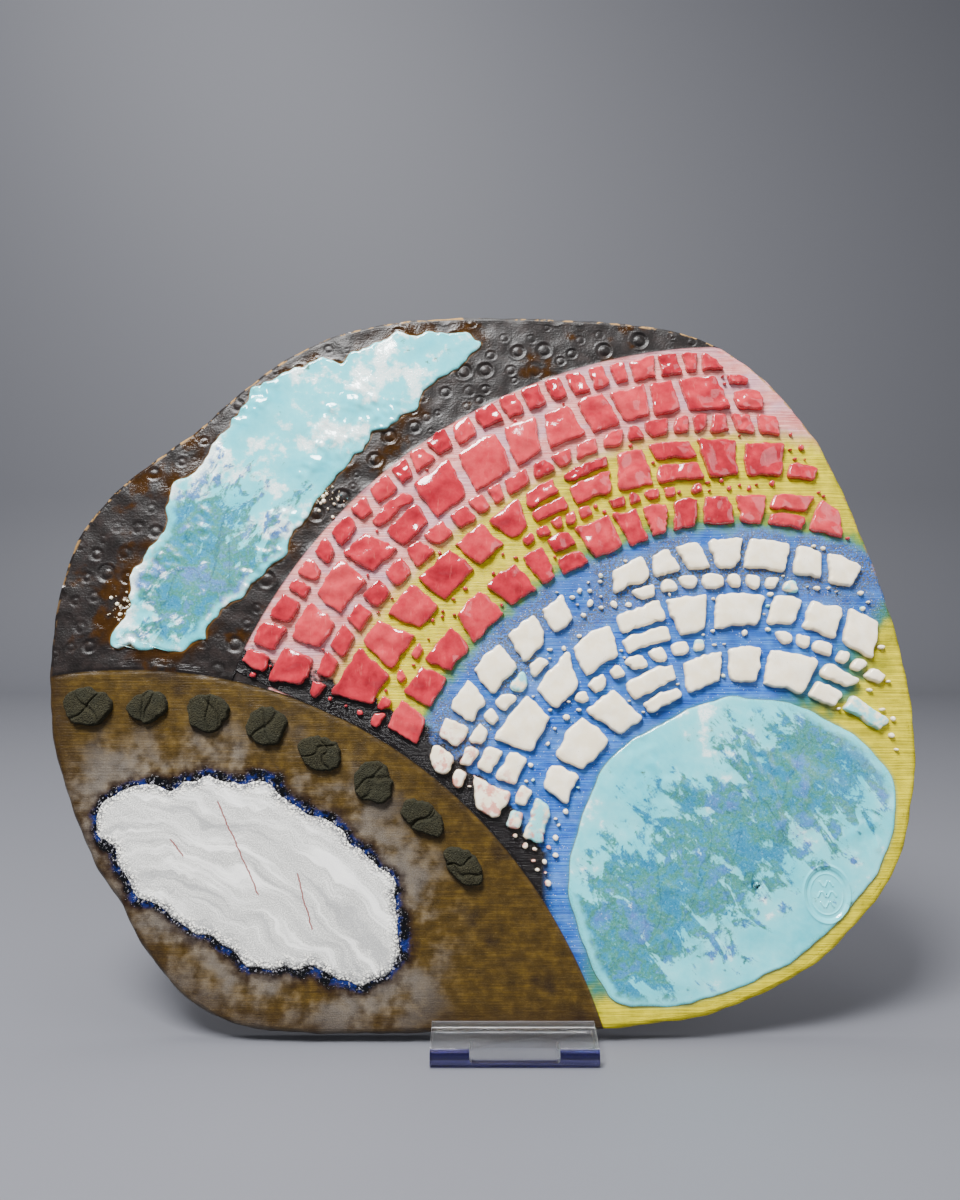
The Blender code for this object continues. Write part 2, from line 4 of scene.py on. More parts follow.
import bpy
import numpy as np
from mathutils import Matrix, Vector


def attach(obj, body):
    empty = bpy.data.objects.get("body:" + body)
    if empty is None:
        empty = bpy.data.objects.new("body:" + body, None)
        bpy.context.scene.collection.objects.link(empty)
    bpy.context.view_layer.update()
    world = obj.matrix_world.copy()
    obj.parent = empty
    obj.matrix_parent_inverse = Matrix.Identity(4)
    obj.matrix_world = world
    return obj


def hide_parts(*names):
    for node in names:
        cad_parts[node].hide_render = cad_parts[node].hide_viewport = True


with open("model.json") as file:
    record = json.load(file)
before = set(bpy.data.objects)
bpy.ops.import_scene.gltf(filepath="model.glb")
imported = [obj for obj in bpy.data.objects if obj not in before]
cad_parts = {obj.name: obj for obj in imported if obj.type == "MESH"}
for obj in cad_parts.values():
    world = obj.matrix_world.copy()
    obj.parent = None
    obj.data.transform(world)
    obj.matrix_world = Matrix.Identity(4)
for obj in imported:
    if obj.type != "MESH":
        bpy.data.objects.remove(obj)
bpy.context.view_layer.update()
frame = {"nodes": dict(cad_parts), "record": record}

# A glazed stoneware relief tile on a clear acrylic stand. The tile's face is worked in its
# own flat coordinates: u across from its middle, v up from its foot, h out of the face.

# Sizes, in metres
TILE_SIZE = np.array((0.432, 0.362))
SLAB_THICKNESS = 0.012
FRONT_ROUND = 0.003
BACK_ROUND = 0.0025
FACE_MIDDLE = 0.0155
MOUNT_HEIGHT = 0.25
FAN = np.array((0.308, 0.182)) * TILE_SIZE
DOME = np.array((-0.405, -0.207)) * TILE_SIZE
FAN_RADIUS = 0.276
DOME_RADIUS = 0.245
CREAM_HEIGHT = 0.0030
CORAL_HEIGHT = 0.0026
PAD_HEIGHT = 0.0034
POOL_HEIGHT = 0.0014
CRACKLE_HEIGHT = 0.0011
STAMP_DEPTH = 0.0009
SHOULDER = 0.0008
SEAL = FAN + np.array((0.0333, -0.0036))
SEAL_SIZE = np.array((0.0105, 0.0125))
OVERLAP = 0.0006
LEAST_REACH = 0.0004
LEVEL_SLACK = 1.5e-4
SKIRT = -0.0012
RELIEF_FOOT = -0.0001
STAMP_TRIES = 2600
STAMP_AREA = ((-0.217, 0.10), (0.14, 0.36))
STAMP_RADII = (0.0019, 0.0026, 0.0034, 0.0042)
STAMP_SHARES = (0.25, 0.35, 0.25, 0.15)
CREAM_BAND = (0.096, 0.172)
CORAL_BAND = (0.180, 0.273)
POOL_REACH = 0.080
POOL_MARGIN = 0.012

# The slab's outline seen in section, as pairs of depth inwards and height
RIM_PROFILE = (
    (0.0110, -0.0120), (0.0026, -0.0120), (0.0013, -0.0117), (0.0004, -0.0108),
    (0.0, -0.0095), (0.0, -0.0062), (0.0, -0.0030), (0.00022, -0.0018), (0.00088, -0.00088),
    (0.0018, -0.00022), (0.0030, 0.0), (0.0042, 0.0), (0.0070, -0.0008))

# How many rays and how many steps along each make up a sheet of the face
FAN_GRID = (600, 120)
STAMPED_GRID = (900, 120)
DOME_GRID = (420, 140)
CRESCENT_GRID = (430, 84)
CRACKLE_GRID = (380, 84)
ROUND_GRID = (420, 80)
SEAL_GRID = (180, 60)

# The same radii and the crackled pool's cracks, in millimetres, for the finishes
FAN_MM = FAN_RADIUS * 1000
DOME_MM = DOME_RADIUS * 1000
CRACKS = (((-128.0, 106.0), (-106.0, 62.0)), ((-88.0, 72.0), (-80.0, 46.0)),
          ((-150.0, 88.0), (-143.0, 80.0)))

NODES = frame["nodes"]
MOUNTS = {mount["name"]: mount for mount in frame["record"]["mounts"]}
OUT = -Vector(MOUNTS["tile_back"]["axis"])
ACROSS = Vector((1.0, 0.0, 0.0))
UP = OUT.cross(ACROSS)
FOOT = (Vector(MOUNTS["tile_back"]["pos_m"]) - UP * MOUNT_HEIGHT - ACROSS * FACE_MIDDLE
        + OUT * SLAB_THICKNESS)


# The face's flat coordinates

def to_world(u, v, h):
    """Return points in the row frame from arrays of face coordinates."""
    flat = np.stack([np.asarray(part, float) for part in np.broadcast_arrays(u, v, h)], -1)
    return np.array(FOOT) + flat @ np.array((ACROSS, UP, OUT))


def to_face(points):
    """Return face coordinates of points in the row frame."""
    return (np.asarray(points) - np.array(FOOT)) @ np.array((ACROSS, UP, OUT)).T


# Outlines

def flat_islands(node):
    """Return the flat areas of the tile's relief, as (height, outline) pairs."""
    mesh = node.data
    points = np.zeros(len(mesh.vertices) * 3)
    mesh.vertices.foreach_get("co", points)
    points = np.round(to_face(points.reshape(-1, 3)) * 1e5).astype(int)
    keys = [tuple(point) for point in points]
    sides = {}
    for polygon in mesh.polygons:
        corners = [keys[index] for index in polygon.vertices]
        heights = [corner[2] for corner in corners]
        if max(heights) - min(heights) > 2 or abs(heights[0]) < 4:
            continue
        level = round(heights[0] / 10)
        for start, end in zip(corners, corners[1:] + corners[:1]):
            a = (start[0], start[1], level)
            b = (end[0], end[1], level)
            if a != b:
                if (b, a) in sides:
                    del sides[(b, a)]
                else:
                    sides[(a, b)] = True
    follow = {a: b for a, b in sides}
    found = []
    while follow:
        start, place = follow.popitem()
        loop = [start]
        while place != start and place in follow:
            loop.append(place)
            place = follow.pop(place)
        if len(loop) > 2:
            found.append((start[2] / 1e4, np.array([(p[0], p[1]) for p in loop]) / 1e5))
    return found


def area_of(loop):
    """Return a loop's area, positive when it runs anticlockwise."""
    x, y = loop[:, 0], loop[:, 1]
    return 0.5 * float(np.sum(np.roll(x, 1) * y - x * np.roll(y, 1)))


def normals_of(loop):
    """Return the unit vectors that point out of an anticlockwise loop at its points."""
    along = np.roll(loop, -1, 0) - np.roll(loop, 1, 0)
    along /= np.maximum(np.linalg.norm(along, axis=1, keepdims=True), 1e-9)
    return np.stack([along[:, 1], -along[:, 0]], 1)


def resample(loop, spacing, least=12):
    """Return a closed loop with even steps along it."""
    closed = np.vstack([loop, loop[:1]])
    steps = np.linalg.norm(np.diff(closed, axis=0), axis=1)
    run = np.concatenate([[0.0], np.cumsum(steps)])
    count = max(least, int(round(run[-1] / spacing)))
    places = np.arange(count) * run[-1] / count
    return np.stack([np.interp(places, run, closed[:, axis]) for axis in (0, 1)], 1)


def grow(loop, distance):
    """Move each side of an anticlockwise polygon outwards by the distance."""
    back = loop - np.roll(loop, 1, 0)
    ahead = np.roll(loop, -1, 0) - loop
    back /= np.linalg.norm(back, axis=1, keepdims=True)
    ahead /= np.linalg.norm(ahead, axis=1, keepdims=True)
    back = np.stack([back[:, 1], -back[:, 0]], 1)
    ahead = np.stack([ahead[:, 1], -ahead[:, 0]], 1)
    spread = np.maximum(0.35, 1 + np.sum(back * ahead, 1, keepdims=True))
    return loop + (back + ahead) * distance / spread


def cut_corners(loop, turns):
    """Return a closed loop with its corners cut again and again."""
    for _ in range(turns):
        ahead = np.roll(loop, -1, 0)
        loop = np.stack([loop * 0.75 + ahead * 0.25, loop * 0.25 + ahead * 0.75], 1)
        loop = loop.reshape(-1, 2)
    return loop


def round_corners(loop, reach, turns=3):
    """Return a polygon whose corners are eased over a short reach."""
    eased = []
    for index, point in enumerate(loop):
        for other in (loop[index - 1], loop[(index + 1) % len(loop)]):
            gap = other - point
            length = np.linalg.norm(gap)
            eased.append(point + gap / length * min(reach, length * 0.35))
    return cut_corners(np.array(eased), turns)


def inset(loop, distance):
    """Move every point of a smooth anticlockwise loop inwards by the distance."""
    return loop - normals_of(loop) * np.asarray(distance).reshape(-1, 1)


def distance_to(loop, points, chunk=12000):
    """Return how far each point is from a closed outline, positive inside."""
    start = loop
    end = np.roll(loop, -1, 0)
    along = end - start
    squared = np.maximum(np.sum(along * along, 1), 1e-12)
    slope = np.where(np.abs(along[:, 1]) < 1e-9, 1e-9, along[:, 1])
    result = np.empty(len(points))
    for first in range(0, len(points), chunk):
        some = points[first:first + chunk]
        x = some[:, 0:1] - start[None, :, 0]
        y = some[:, 1:2] - start[None, :, 1]
        share = np.clip((x * along[:, 0] + y * along[:, 1]) / squared, 0.0, 1.0)
        squares = (x - share * along[:, 0]) ** 2 + (y - share * along[:, 1]) ** 2
        nearest = np.sqrt(np.min(squares, 1))
        low = start[None, :, 1] > some[:, 1:2]
        high = end[None, :, 1] > some[:, 1:2]
        inside = np.sum((low != high) & (x < y / slope * along[:, 0]), 1) % 2 == 1
        result[first:first + chunk] = np.where(inside, nearest, -nearest)
    return result


def ray_crossings(loop, centre, angle):
    """Return the distances at which a ray from the centre crosses a closed outline."""
    ray = np.array((math.cos(angle), math.sin(angle)))
    start = loop - centre
    end = np.roll(start, -1, 0)
    across_start = start[:, 0] * ray[1] - start[:, 1] * ray[0]
    across_end = end[:, 0] * ray[1] - end[:, 1] * ray[0]
    hits = (across_start > 0) != (across_end > 0)
    share = across_start[hits] / (across_start[hits] - across_end[hits])
    points = start[hits] + (end[hits] - start[hits]) * share[:, None]
    reach = points @ ray
    return sorted(reach[reach > 0])


def circle_crossings(angle, centre, radius):
    """Return where a ray from the fan's centre enters and leaves a circle, or None."""
    ray = np.array((math.cos(angle), math.sin(angle)))
    offset = FAN - centre
    half = float(offset @ ray)
    rest = half * half - float(offset @ offset) + radius * radius
    if rest <= 0 or -half + math.sqrt(rest) <= 0:
        return None
    return -half - math.sqrt(rest), -half + math.sqrt(rest)


# Smooth variation over the face, the same at every call

def wander(u, v, size, seed):
    """Return smooth random values between about -1 and 1, that vary over the given size."""
    draw = np.random.default_rng(seed)
    total = np.zeros(np.broadcast(u, v).shape)
    for _ in range(7):
        angle = draw.uniform(0, math.tau)
        length = size * draw.uniform(0.55, 1.6)
        phase = draw.uniform(0, math.tau)
        bend = draw.uniform(0, math.tau)
        run = u * math.cos(angle) + v * math.sin(angle)
        side = v * math.cos(angle) - u * math.sin(angle)
        sway = 0.9 * np.sin(side / length * math.tau * 0.61 + bend)
        total = total + np.sin(run / length * math.tau + phase + sway)
    return total / 3.2


def smooth_step(low, high, value):
    """Return 0 below low, 1 above high and a smooth change between."""
    share = np.clip((value - low) / (high - low), 0.0, 1.0)
    return share * share * (3 - 2 * share)


def ragged(loop, spacing, size, amount, seed):
    """Return a smooth outline with an uneven, lobed edge."""
    loop = resample(cut_corners(loop, 2), spacing)
    shift = wander(loop[:, 0], loop[:, 1], size, seed)
    shift = shift + wander(loop[:, 0], loop[:, 1], size * 0.34, seed + 1) * 0.42
    shift = shift + wander(loop[:, 0], loop[:, 1], size * 0.12, seed + 2) * 0.12
    return resample(loop + normals_of(loop) * (shift * amount)[:, None], spacing)


# The outlines of the relief and of the slab, read from the frame

islands = flat_islands(NODES["ceramic_tile"])


def outlines_at(height):
    """Return the outlines of the relief whose flat top is at a height, grown to its foot."""
    return [grow(loop, SHOULDER) for level, loop in islands
            if abs(level - height) < LEVEL_SLACK and area_of(loop) > 0]


cream_outlines = outlines_at(CREAM_HEIGHT)
coral_outlines = outlines_at(CORAL_HEIGHT)
pad_outlines = outlines_at(PAD_HEIGHT)
pool_outlines = sorted(outlines_at(POOL_HEIGHT), key=area_of)
crescent_outline = ragged(pool_outlines[0], 0.0009, 0.048, 0.0038, 21)
round_outline = ragged(pool_outlines[1], 0.0012, 0.060, 0.0011, 23)
crackle_outline = ragged(outlines_at(CRACKLE_HEIGHT)[0], 0.0009, 0.050, 0.0030, 25)
stamps = [(loop.mean(0), math.sqrt(abs(area_of(loop)) / math.pi) + STAMP_DEPTH)
          for level, loop in islands if abs(level + STAMP_DEPTH) < LEVEL_SLACK]

back_loop = max((loop for level, loop in islands if level < STAMP_DEPTH - SLAB_THICKNESS),
                key=len)
if area_of(back_loop) < 0:
    back_loop = back_loop[::-1]
edge = resample(cut_corners(resample(grow(back_loop, BACK_ROUND), 0.0040), 1), 0.0022)
coarse_edge = resample(edge, 0.006)
rim_line = inset(edge, FRONT_ROUND)


# Meshes

def mesh_object(name, points, faces, places=None, marks=None):
    """Make a smooth mesh object, with its face coordinates and other marks kept on it."""
    mesh = bpy.data.meshes.new(name)
    mesh.from_pydata(np.asarray(points).tolist(), [], faces)
    mesh.polygons.foreach_set("use_smooth", [True] * len(mesh.polygons))
    item = bpy.data.objects.new(name, mesh)
    bpy.context.scene.collection.objects.link(item)
    if places is not None:
        places = np.asarray(places, float)
        flat = places[:, :2]
        bands = np.stack([np.linalg.norm(flat - FAN, axis=1), np.linalg.norm(flat - DOME, axis=1),
                          distance_to(coarse_edge, flat)], 1)
        for layer_name, values in (("place", places), ("bands", bands), ("marks", marks)):
            layer = mesh.attributes.new(layer_name, "FLOAT_VECTOR", "POINT")
            layer.data.foreach_set("vector", np.asarray(values).astype(np.float32).ravel())
    return item


def grid_faces(rows, columns, wrap):
    """Return the quads of a grid of vertices, its rows running round if wrap is set."""
    index = np.arange(rows * columns).reshape(rows, columns)
    after = np.roll(index, -1, 0) if wrap else index[1:]
    before = index if wrap else index[:-1]
    quads = np.stack([before[:, :-1], before[:, 1:], after[:, 1:], after[:, :-1]], -1)
    return quads.reshape(-1, 4).tolist()


def face_patch(name, u, v, surface, wrap=False, skirt=None, cap=False):
    """Make a sheet over the face from a grid of places, with its border let down as a skirt."""
    h, marks = surface(u, v)
    if skirt is not None:
        borders = [(0, 0) if wrap else (1, 1), (0 if cap else 1, 1)]
        u, v, h = (np.pad(part, borders, "edge") for part in (u, v, h))
        marks = np.pad(marks, borders + [(0, 0)], "edge")
        h[:, -1] = skirt
        if not cap:
            h[:, 0] = skirt
        if not wrap:
            h[0] = h[-1] = skirt
    places = np.stack([u, v, h], -1).reshape(-1, 3)
    faces = grid_faces(*u.shape, wrap)
    if cap:
        faces.append([row * u.shape[1] for row in range(u.shape[0])][::-1])
    return mesh_object(name, to_world(*places.T), faces, places, marks.reshape(-1, 3))


def polar_grid(centre, angles, inner, outer, shares):
    """Return the places between two radii at each angle round a centre."""
    radii = inner[:, None] + (outer - inner)[:, None] * shares[None]
    return (centre[0] + radii * np.cos(angles)[:, None],
            centre[1] + radii * np.sin(angles)[:, None])


# The ground of the face

draw = np.random.default_rng(7)
for _ in range(STAMP_TRIES):
    spot = draw.uniform(*STAMP_AREA)
    radius = draw.choice(STAMP_RADII, p=STAMP_SHARES)
    if np.linalg.norm(spot - FAN) < FAN_RADIUS + radius * 1.2:
        continue
    if np.linalg.norm(spot - DOME) < DOME_RADIUS + radius * 1.2:
        continue
    if all(np.linalg.norm(spot - other) > (radius + size) * 1.25 for other, size in stamps):
        stamps.append((spot, radius))
stamp_depths = draw.uniform(0.35, 1.15, len(stamps))


def ring_relief(u, v):
    """Return the relief of the rings pressed into the dark clay."""
    h = np.zeros(u.shape)
    for (centre, radius), depth in zip(stamps, stamp_depths):
        near = (np.abs(u - centre[0]) < radius * 1.7) & (np.abs(v - centre[1]) < radius * 1.7)
        if near.any():
            gap = np.hypot(u[near] - centre[0], v[near] - centre[1]) / radius
            groove = -0.50 * np.exp(-((gap - 0.78) / 0.24) ** 2)
            lip = 0.20 * np.exp(-((gap - 1.18) / 0.20) ** 2)
            button = 0.26 * np.clip(1 - (gap / 0.62) ** 2, 0, 1)
            h[near] += (groove + lip + button) * depth * radius * 0.25
    return h


def ground_height(u, v):
    """Return the height of the ground between the chips and pools."""
    fan_gap = np.hypot(u - FAN[0], v - FAN[1])
    dome_gap = np.hypot(u - DOME[0], v - DOME[1])
    past_fan = smooth_step(FAN_RADIUS - 0.001, FAN_RADIUS + 0.001, fan_gap)
    past_dome = smooth_step(DOME_RADIUS - 0.001, DOME_RADIUS + 0.001, dome_gap)
    stamped = past_fan * past_dome
    dome = 1 - past_dome
    h = 0.00024 * wander(u, v, 0.10, 1) + 0.00010 * wander(u, v, 0.034, 2)
    h = h + stamped * (0.00026 * wander(u, v, 0.019, 3) + 0.00005 * wander(u, v, 0.0060, 4))
    h = h + stamped * ring_relief(u, v)
    h = h + dome * 0.00008 * wander(u, v, 0.012, 5)
    seam = np.exp(-((dome_gap - DOME_RADIUS) / 0.0010) ** 2)
    border = np.exp(-((fan_gap - FAN_RADIUS) / 0.0011) ** 2) * (1 - dome)
    return h - 0.00030 * seam + 0.00022 * border * (1 + wander(u, v, 0.02, 6))


coarse_outlines = [resample(loop, 0.0035)
                   for loop in (crackle_outline, crescent_outline, round_outline)]


def ground_surface(u, v):
    """Return the ground's height, and its distances outside the three pools."""
    flat = np.stack([u.ravel(), v.ravel()], 1)
    gaps = [-distance_to(loop, flat) for loop in coarse_outlines]
    return ground_height(u, v), np.stack(gaps, -1).reshape(*u.shape, 3)


pieces = {}

angles = np.arange(FAN_GRID[0]) * math.tau / FAN_GRID[0]
rim_reach = np.array([ray_crossings(rim_line, FAN, angle)[0] for angle in angles])
outer = []
for angle, reach in zip(angles, rim_reach):
    dome = circle_crossings(angle, DOME, DOME_RADIUS)
    outer.append(min(FAN_RADIUS, reach, dome[0] if dome else math.inf) + OVERLAP)
pieces["fan_ground"] = face_patch(
    "fan_ground",
    *polar_grid(FAN, angles, np.minimum(POOL_REACH, rim_reach - POOL_MARGIN), np.array(outer),
                np.linspace(0, 1, FAN_GRID[1])),
    ground_surface, wrap=True)


def between_limits(centre, first, last, limits, grid):
    """Return a grid over what lies between two limits, given for each ray from a centre."""
    kept = []
    for angle in np.radians(np.linspace(first, last, grid[0])):
        start, end = limits(angle)
        if end - start > LEAST_REACH:
            kept.append((angle, start - OVERLAP, end + OVERLAP))
    return polar_grid(centre, *np.array(kept).T, np.linspace(0, 1, grid[1]))


def stamped_limits(angle):
    """Return where a ray from the fan's centre leaves the fan and dome, and the slab."""
    dome = circle_crossings(angle, DOME, DOME_RADIUS)
    return max(FAN_RADIUS, dome[1] if dome else 0.0), ray_crossings(rim_line, FAN, angle)[0]


def dome_limits(angle):
    """Return where a ray from the dome's centre enters the slab, and leaves it or the dome."""
    crossings = ray_crossings(rim_line, DOME, angle)
    if len(crossings) < 2:
        return 0.0, 0.0
    return crossings[0], min(DOME_RADIUS, crossings[-1])


pieces["stamped_ground"] = face_patch(
    "stamped_ground",
    *between_limits(FAN, 60.0, 180.0, stamped_limits, STAMPED_GRID), ground_surface)
pieces["dome_ground"] = face_patch(
    "dome_ground",
    *between_limits(DOME, 10.0, 110.0, dome_limits, DOME_GRID), ground_surface)


def slab_body():
    """Make the slab's rim, sides and back, with the face left to the ground's sheets."""
    loop = resample(edge, 0.0012)
    count = len(loop)
    run = np.arange(count) / count
    rings = []
    for step, (depth, rise) in enumerate(RIM_PROFILE):
        ring = inset(loop, depth)
        tool = 0.00020 * np.sin(run * math.tau * 37 + step * 0.8)
        tool = tool + 0.00016 * np.sin(run * math.tau * 91 + step * 1.7)
        ring = ring + normals_of(loop) * (tool * (0.0001 < -rise < 0.0119))[:, None]
        level = ground_height(ring[:, 0], ring[:, 1]) * (1 - smooth_step(0.0, 0.0005, -rise))
        rings.append(np.column_stack([ring, rise + level]))
    places = np.stack(rings, 1).reshape(-1, 3)
    columns = len(RIM_PROFILE)
    faces = [face[::-1] for face in grid_faces(count, columns, True)]
    faces.append([index * columns for index in range(count)][::-1])
    faces.append([index * columns + columns - 1 for index in range(count)])
    marks = ground_surface(places[:, 0], places[:, 1])[1]
    return mesh_object("slab_body", to_world(*places.T), faces, places, marks)


pieces["slab_body"] = slab_body()


# Glaze pools

def edge_spaced(count, amount=0.62):
    """Return shares from 0 to 1 that crowd towards both ends."""
    even = np.linspace(0, 1, count)
    return even - amount * np.sin(even * math.tau) / math.tau


def pool_surface(outline, height, lip, swell):
    """Return a function for a pool's surface, rounded down at its outline."""
    def surface(u, v):
        flat = np.stack([u.ravel(), v.ravel()], 1)
        inside = np.clip(distance_to(outline, flat), 0.0, None).reshape(u.shape)
        rise = np.sqrt(np.clip(1 - (1 - np.clip(inside / lip, 0, 1)) ** 2, 0, 1))
        body = height * (0.78 + 0.22 * smooth_step(0.0, 0.010, inside)) + swell(u, v)
        marks = np.stack([inside, inside * 0, inside * 0], -1)
        return RELIEF_FOOT + (body - RELIEF_FOOT) * rise, marks
    return surface


def crescent_grid(centre, outline, rows, columns):
    """Return a grid over an outline that every ray from the centre cuts twice."""
    bearing = np.arctan2(outline[:, 1] - centre[1], outline[:, 0] - centre[0])
    kept = []
    for angle in np.linspace(bearing.min(), bearing.max(), rows + 2)[1:-1]:
        crossings = ray_crossings(outline, centre, angle)
        if len(crossings) > 1:
            kept.append((angle, crossings[0], crossings[-1]))
    return polar_grid(centre, *np.array(kept).T, edge_spaced(columns))


def crescent_swell(u, v):
    """Return the crescent pool's slow ripples, with thick foam in patches."""
    foam = smooth_step(0.10, 0.60, wander(u, v, 0.060, 41) + 0.25 * wander(u, v, 0.018, 42))
    return (0.00026 * wander(u, v, 0.030, 31) + 0.00005 * wander(u, v, 0.011, 32)
            + foam * (0.00040 + 0.00042 * wander(u, v, 0.0105, 43)
                      + 0.00012 * wander(u, v, 0.0045, 44)))


def crackle_swell(u, v):
    """Return the crackled pool's shallow strokes."""
    around = np.hypot(u - DOME[0] + 0.06, v - DOME[1]) + 0.004 * wander(u, v, 0.07, 33)
    sweep = np.sin(around / 0.0075 * math.tau) + 0.5 * np.sin(around / 0.0031 * math.tau)
    return 0.00016 * wander(u, v, 0.026, 34) + 0.00006 * sweep


def seal_reach(u, v):
    """Return how far places are from the seal's middle, 1 on its outline."""
    return np.hypot((u - SEAL[0]) / SEAL_SIZE[0], (v - SEAL[1]) / SEAL_SIZE[1])


def round_swell(u, v):
    """Return the round pool's ripples, with patches of foam away from the seal."""
    foam = smooth_step(0.25, 0.75, wander(u, v, 0.070, 45) + 0.25 * wander(u, v, 0.018, 46))
    ripple = (0.00034 * wander(u, v, 0.034, 35) + 0.00006 * wander(u, v, 0.012, 36)
              + foam * (0.00030 + 0.00036 * wander(u, v, 0.0105, 47)))
    return ripple * smooth_step(1.2, 2.4, seal_reach(u, v))


round_surface = pool_surface(round_outline, POOL_HEIGHT, 0.0018, round_swell)


def round_with_seat(u, v):
    """Return the round pool's surface with a shallow seat under the seal."""
    h, marks = round_surface(u, v)
    return h - 0.0010 * (1 - smooth_step(1.06, 1.15, seal_reach(u, v))), marks


def seal_surface(u, v):
    """Return the seal's surface: a raised oval line round a recess with rows of strokes."""
    h, marks = round_surface(u, v)
    x, y = u - SEAL[0], v - SEAL[1]
    reach = seal_reach(u, v)
    h = h + 0.00002 + 0.00040 * np.exp(-((reach - 1.07) / 0.045) ** 2)
    h = h - 0.00075 * (1 - smooth_step(0.88, 0.99, reach))
    h = h + 0.00030 * np.exp(-((reach - 0.76) / 0.030) ** 2)
    for row, (count, wide) in enumerate(((3, 0.0072), (4, 0.0096), (3, 0.0072))):
        for place in range(count):
            middle = ((place - (count - 1) / 2) * wide / count, (1 - row) * 0.0048)
            lean = 0.5 if (place + row) % 2 else -0.6
            run = (x - middle[0]) * math.sin(lean) + (y - middle[1]) * math.cos(lean)
            side = (x - middle[0]) * math.cos(lean) - (y - middle[1]) * math.sin(lean)
            gap = np.hypot(side, np.clip(np.abs(run) - 0.0013, 0, None))
            h = h + 0.00050 * np.exp(-(gap / 0.00036) ** 2)
    return h, marks


pieces["crescent_pool"] = face_patch(
    "crescent_pool", *crescent_grid(FAN, crescent_outline, *CRESCENT_GRID),
    pool_surface(crescent_outline, POOL_HEIGHT, 0.0017, crescent_swell), skirt=SKIRT)
pieces["crackle_pool"] = face_patch(
    "crackle_pool", *crescent_grid(DOME, crackle_outline, *CRACKLE_GRID),
    pool_surface(crackle_outline, CRACKLE_HEIGHT, 0.0013, crackle_swell), skirt=SKIRT)

angles = np.arange(ROUND_GRID[0]) * math.tau / ROUND_GRID[0]
reach = np.array([ray_crossings(round_outline, FAN, angle)[-1] for angle in angles])
shares = np.sin(np.linspace(0.015, 1, ROUND_GRID[1]) * math.pi / 2)
pieces["round_pool"] = face_patch(
    "round_pool", *polar_grid(FAN, angles, reach * 0.0, reach, shares), round_with_seat,
    wrap=True, skirt=SKIRT, cap=True)

angles = np.arange(SEAL_GRID[0]) * math.tau / SEAL_GRID[0]
across = SEAL_SIZE[0] * np.cos(angles)
up = SEAL_SIZE[1] * np.sin(angles)
limit = [ray_crossings(round_outline, SEAL, angle)[0] for angle in np.arctan2(up, across)]
limit = np.minimum(1.26, (np.array(limit) - 0.0006) / np.hypot(across, up))
spread = np.outer(limit, np.linspace(0.02, 1, SEAL_GRID[1]))
pieces["seal"] = face_patch(
    "seal", SEAL[0] + across[:, None] * spread, SEAL[1] + up[:, None] * spread, seal_surface,
    wrap=True, cap=True)


# Chips and pads

def chip_mesh(outline, seed, height, ease, spacing, rough, tilt, rings, cut, spare=0.0,
              grooves=0):
    """Return the places, faces and marks of one soft-edged chip of clay.

    Its edge is eased over the given reach, its top is as rough and tilted as given, and its
    outline is cut unevenly. The rings of vertices are counted over its edge and its top.
    """
    own = np.random.default_rng(seed)
    loop = resample(round_corners(grow(outline, spare), ease * 1.2), spacing, 16)
    size = math.sqrt(abs(area_of(loop)))
    shift = 1.6 * wander(loop[:, 0], loop[:, 1], 0.014, seed)
    shift = shift + wander(loop[:, 0], loop[:, 1], 0.0055, seed + 1)
    loop = loop + normals_of(loop) * (shift * cut)[:, None]
    heart = loop.mean(0)
    gap = heart - loop
    length = np.linalg.norm(gap, axis=1)
    facing = np.clip(np.sum(-normals_of(loop) * gap, 1) / length, 0.35, 1.0)
    lean = own.uniform(-tilt, tilt, 2)
    tone = own.uniform()
    lines = [(own.uniform(0, math.pi), own.uniform(-0.3, 0.3) * size * 0.5)
             for _ in range(grooves)]
    edge_rings, inner_rings = rings
    steps = [(np.zeros(len(loop)), SKIRT), (np.zeros(len(loop)), 0.0)]
    for step in range(1, edge_rings + 1):
        turn = math.pi / 2 * step / edge_rings
        share = np.minimum(0.62, ease * (1 - math.cos(turn)) / (length * facing))
        steps.append((share, math.sin(turn)))
    last = steps[-1][0]
    for step in range(1, inner_rings + 1):
        steps.append((last + (1 - last) * step / (inner_rings + 0.4), 1.0))
    places = []
    marks = []
    for share, rise in steps:
        ring = loop + gap * share[:, None]
        swell = height + (ring - heart) @ lean
        swell = swell + rough * size * wander(ring[:, 0], ring[:, 1], size * 0.9, seed + 2)
        swell = swell + height * 0.10 * np.sin(np.clip(share, 0, 1) * math.pi / 2)
        for turn, offset in lines:
            away = (ring - heart) @ np.array((math.cos(turn), math.sin(turn))) - offset
            away = away + 0.0016 * wander(ring[:, 0], ring[:, 1], 0.013, seed + 3)
            swell = swell - 0.0010 * np.exp(-(away / 0.0006) ** 2)
        h = rise * swell if rise >= 0 else np.full(len(ring), rise)
        places.append(np.column_stack([ring, h]))
        marks.append(np.tile((max(rise, 0.0), tone, 0.0), (len(ring), 1)))
    places = np.stack(places, 1)
    count, columns = places.shape[:2]
    faces = [face[::-1] for face in grid_faces(count, columns, True)]
    faces.append([index * columns + columns - 1 for index in range(count)])
    return places.reshape(-1, 3), faces, np.stack(marks, 1).reshape(-1, 3)


def add_chips(name, outlines, **look):
    """Make one piece of many chips."""
    places = []
    marks = []
    faces = []
    start = 0
    for index, outline in enumerate(outlines):
        some, sides, own = chip_mesh(outline, 100 + index * 7, **look)
        places.append(some)
        marks.append(own)
        faces += [[corner + start for corner in side] for side in sides]
        start += len(some)
    places = np.vstack(places)
    pieces[name] = mesh_object(name, to_world(*places.T), faces, places, np.vstack(marks))


def lump(spot, turns, reach, squash=1.0):
    """Return the outline of a small lump from the turns and reaches of its corners."""
    return spot + np.stack([reach * np.cos(turns), reach * np.sin(turns) * squash], 1)


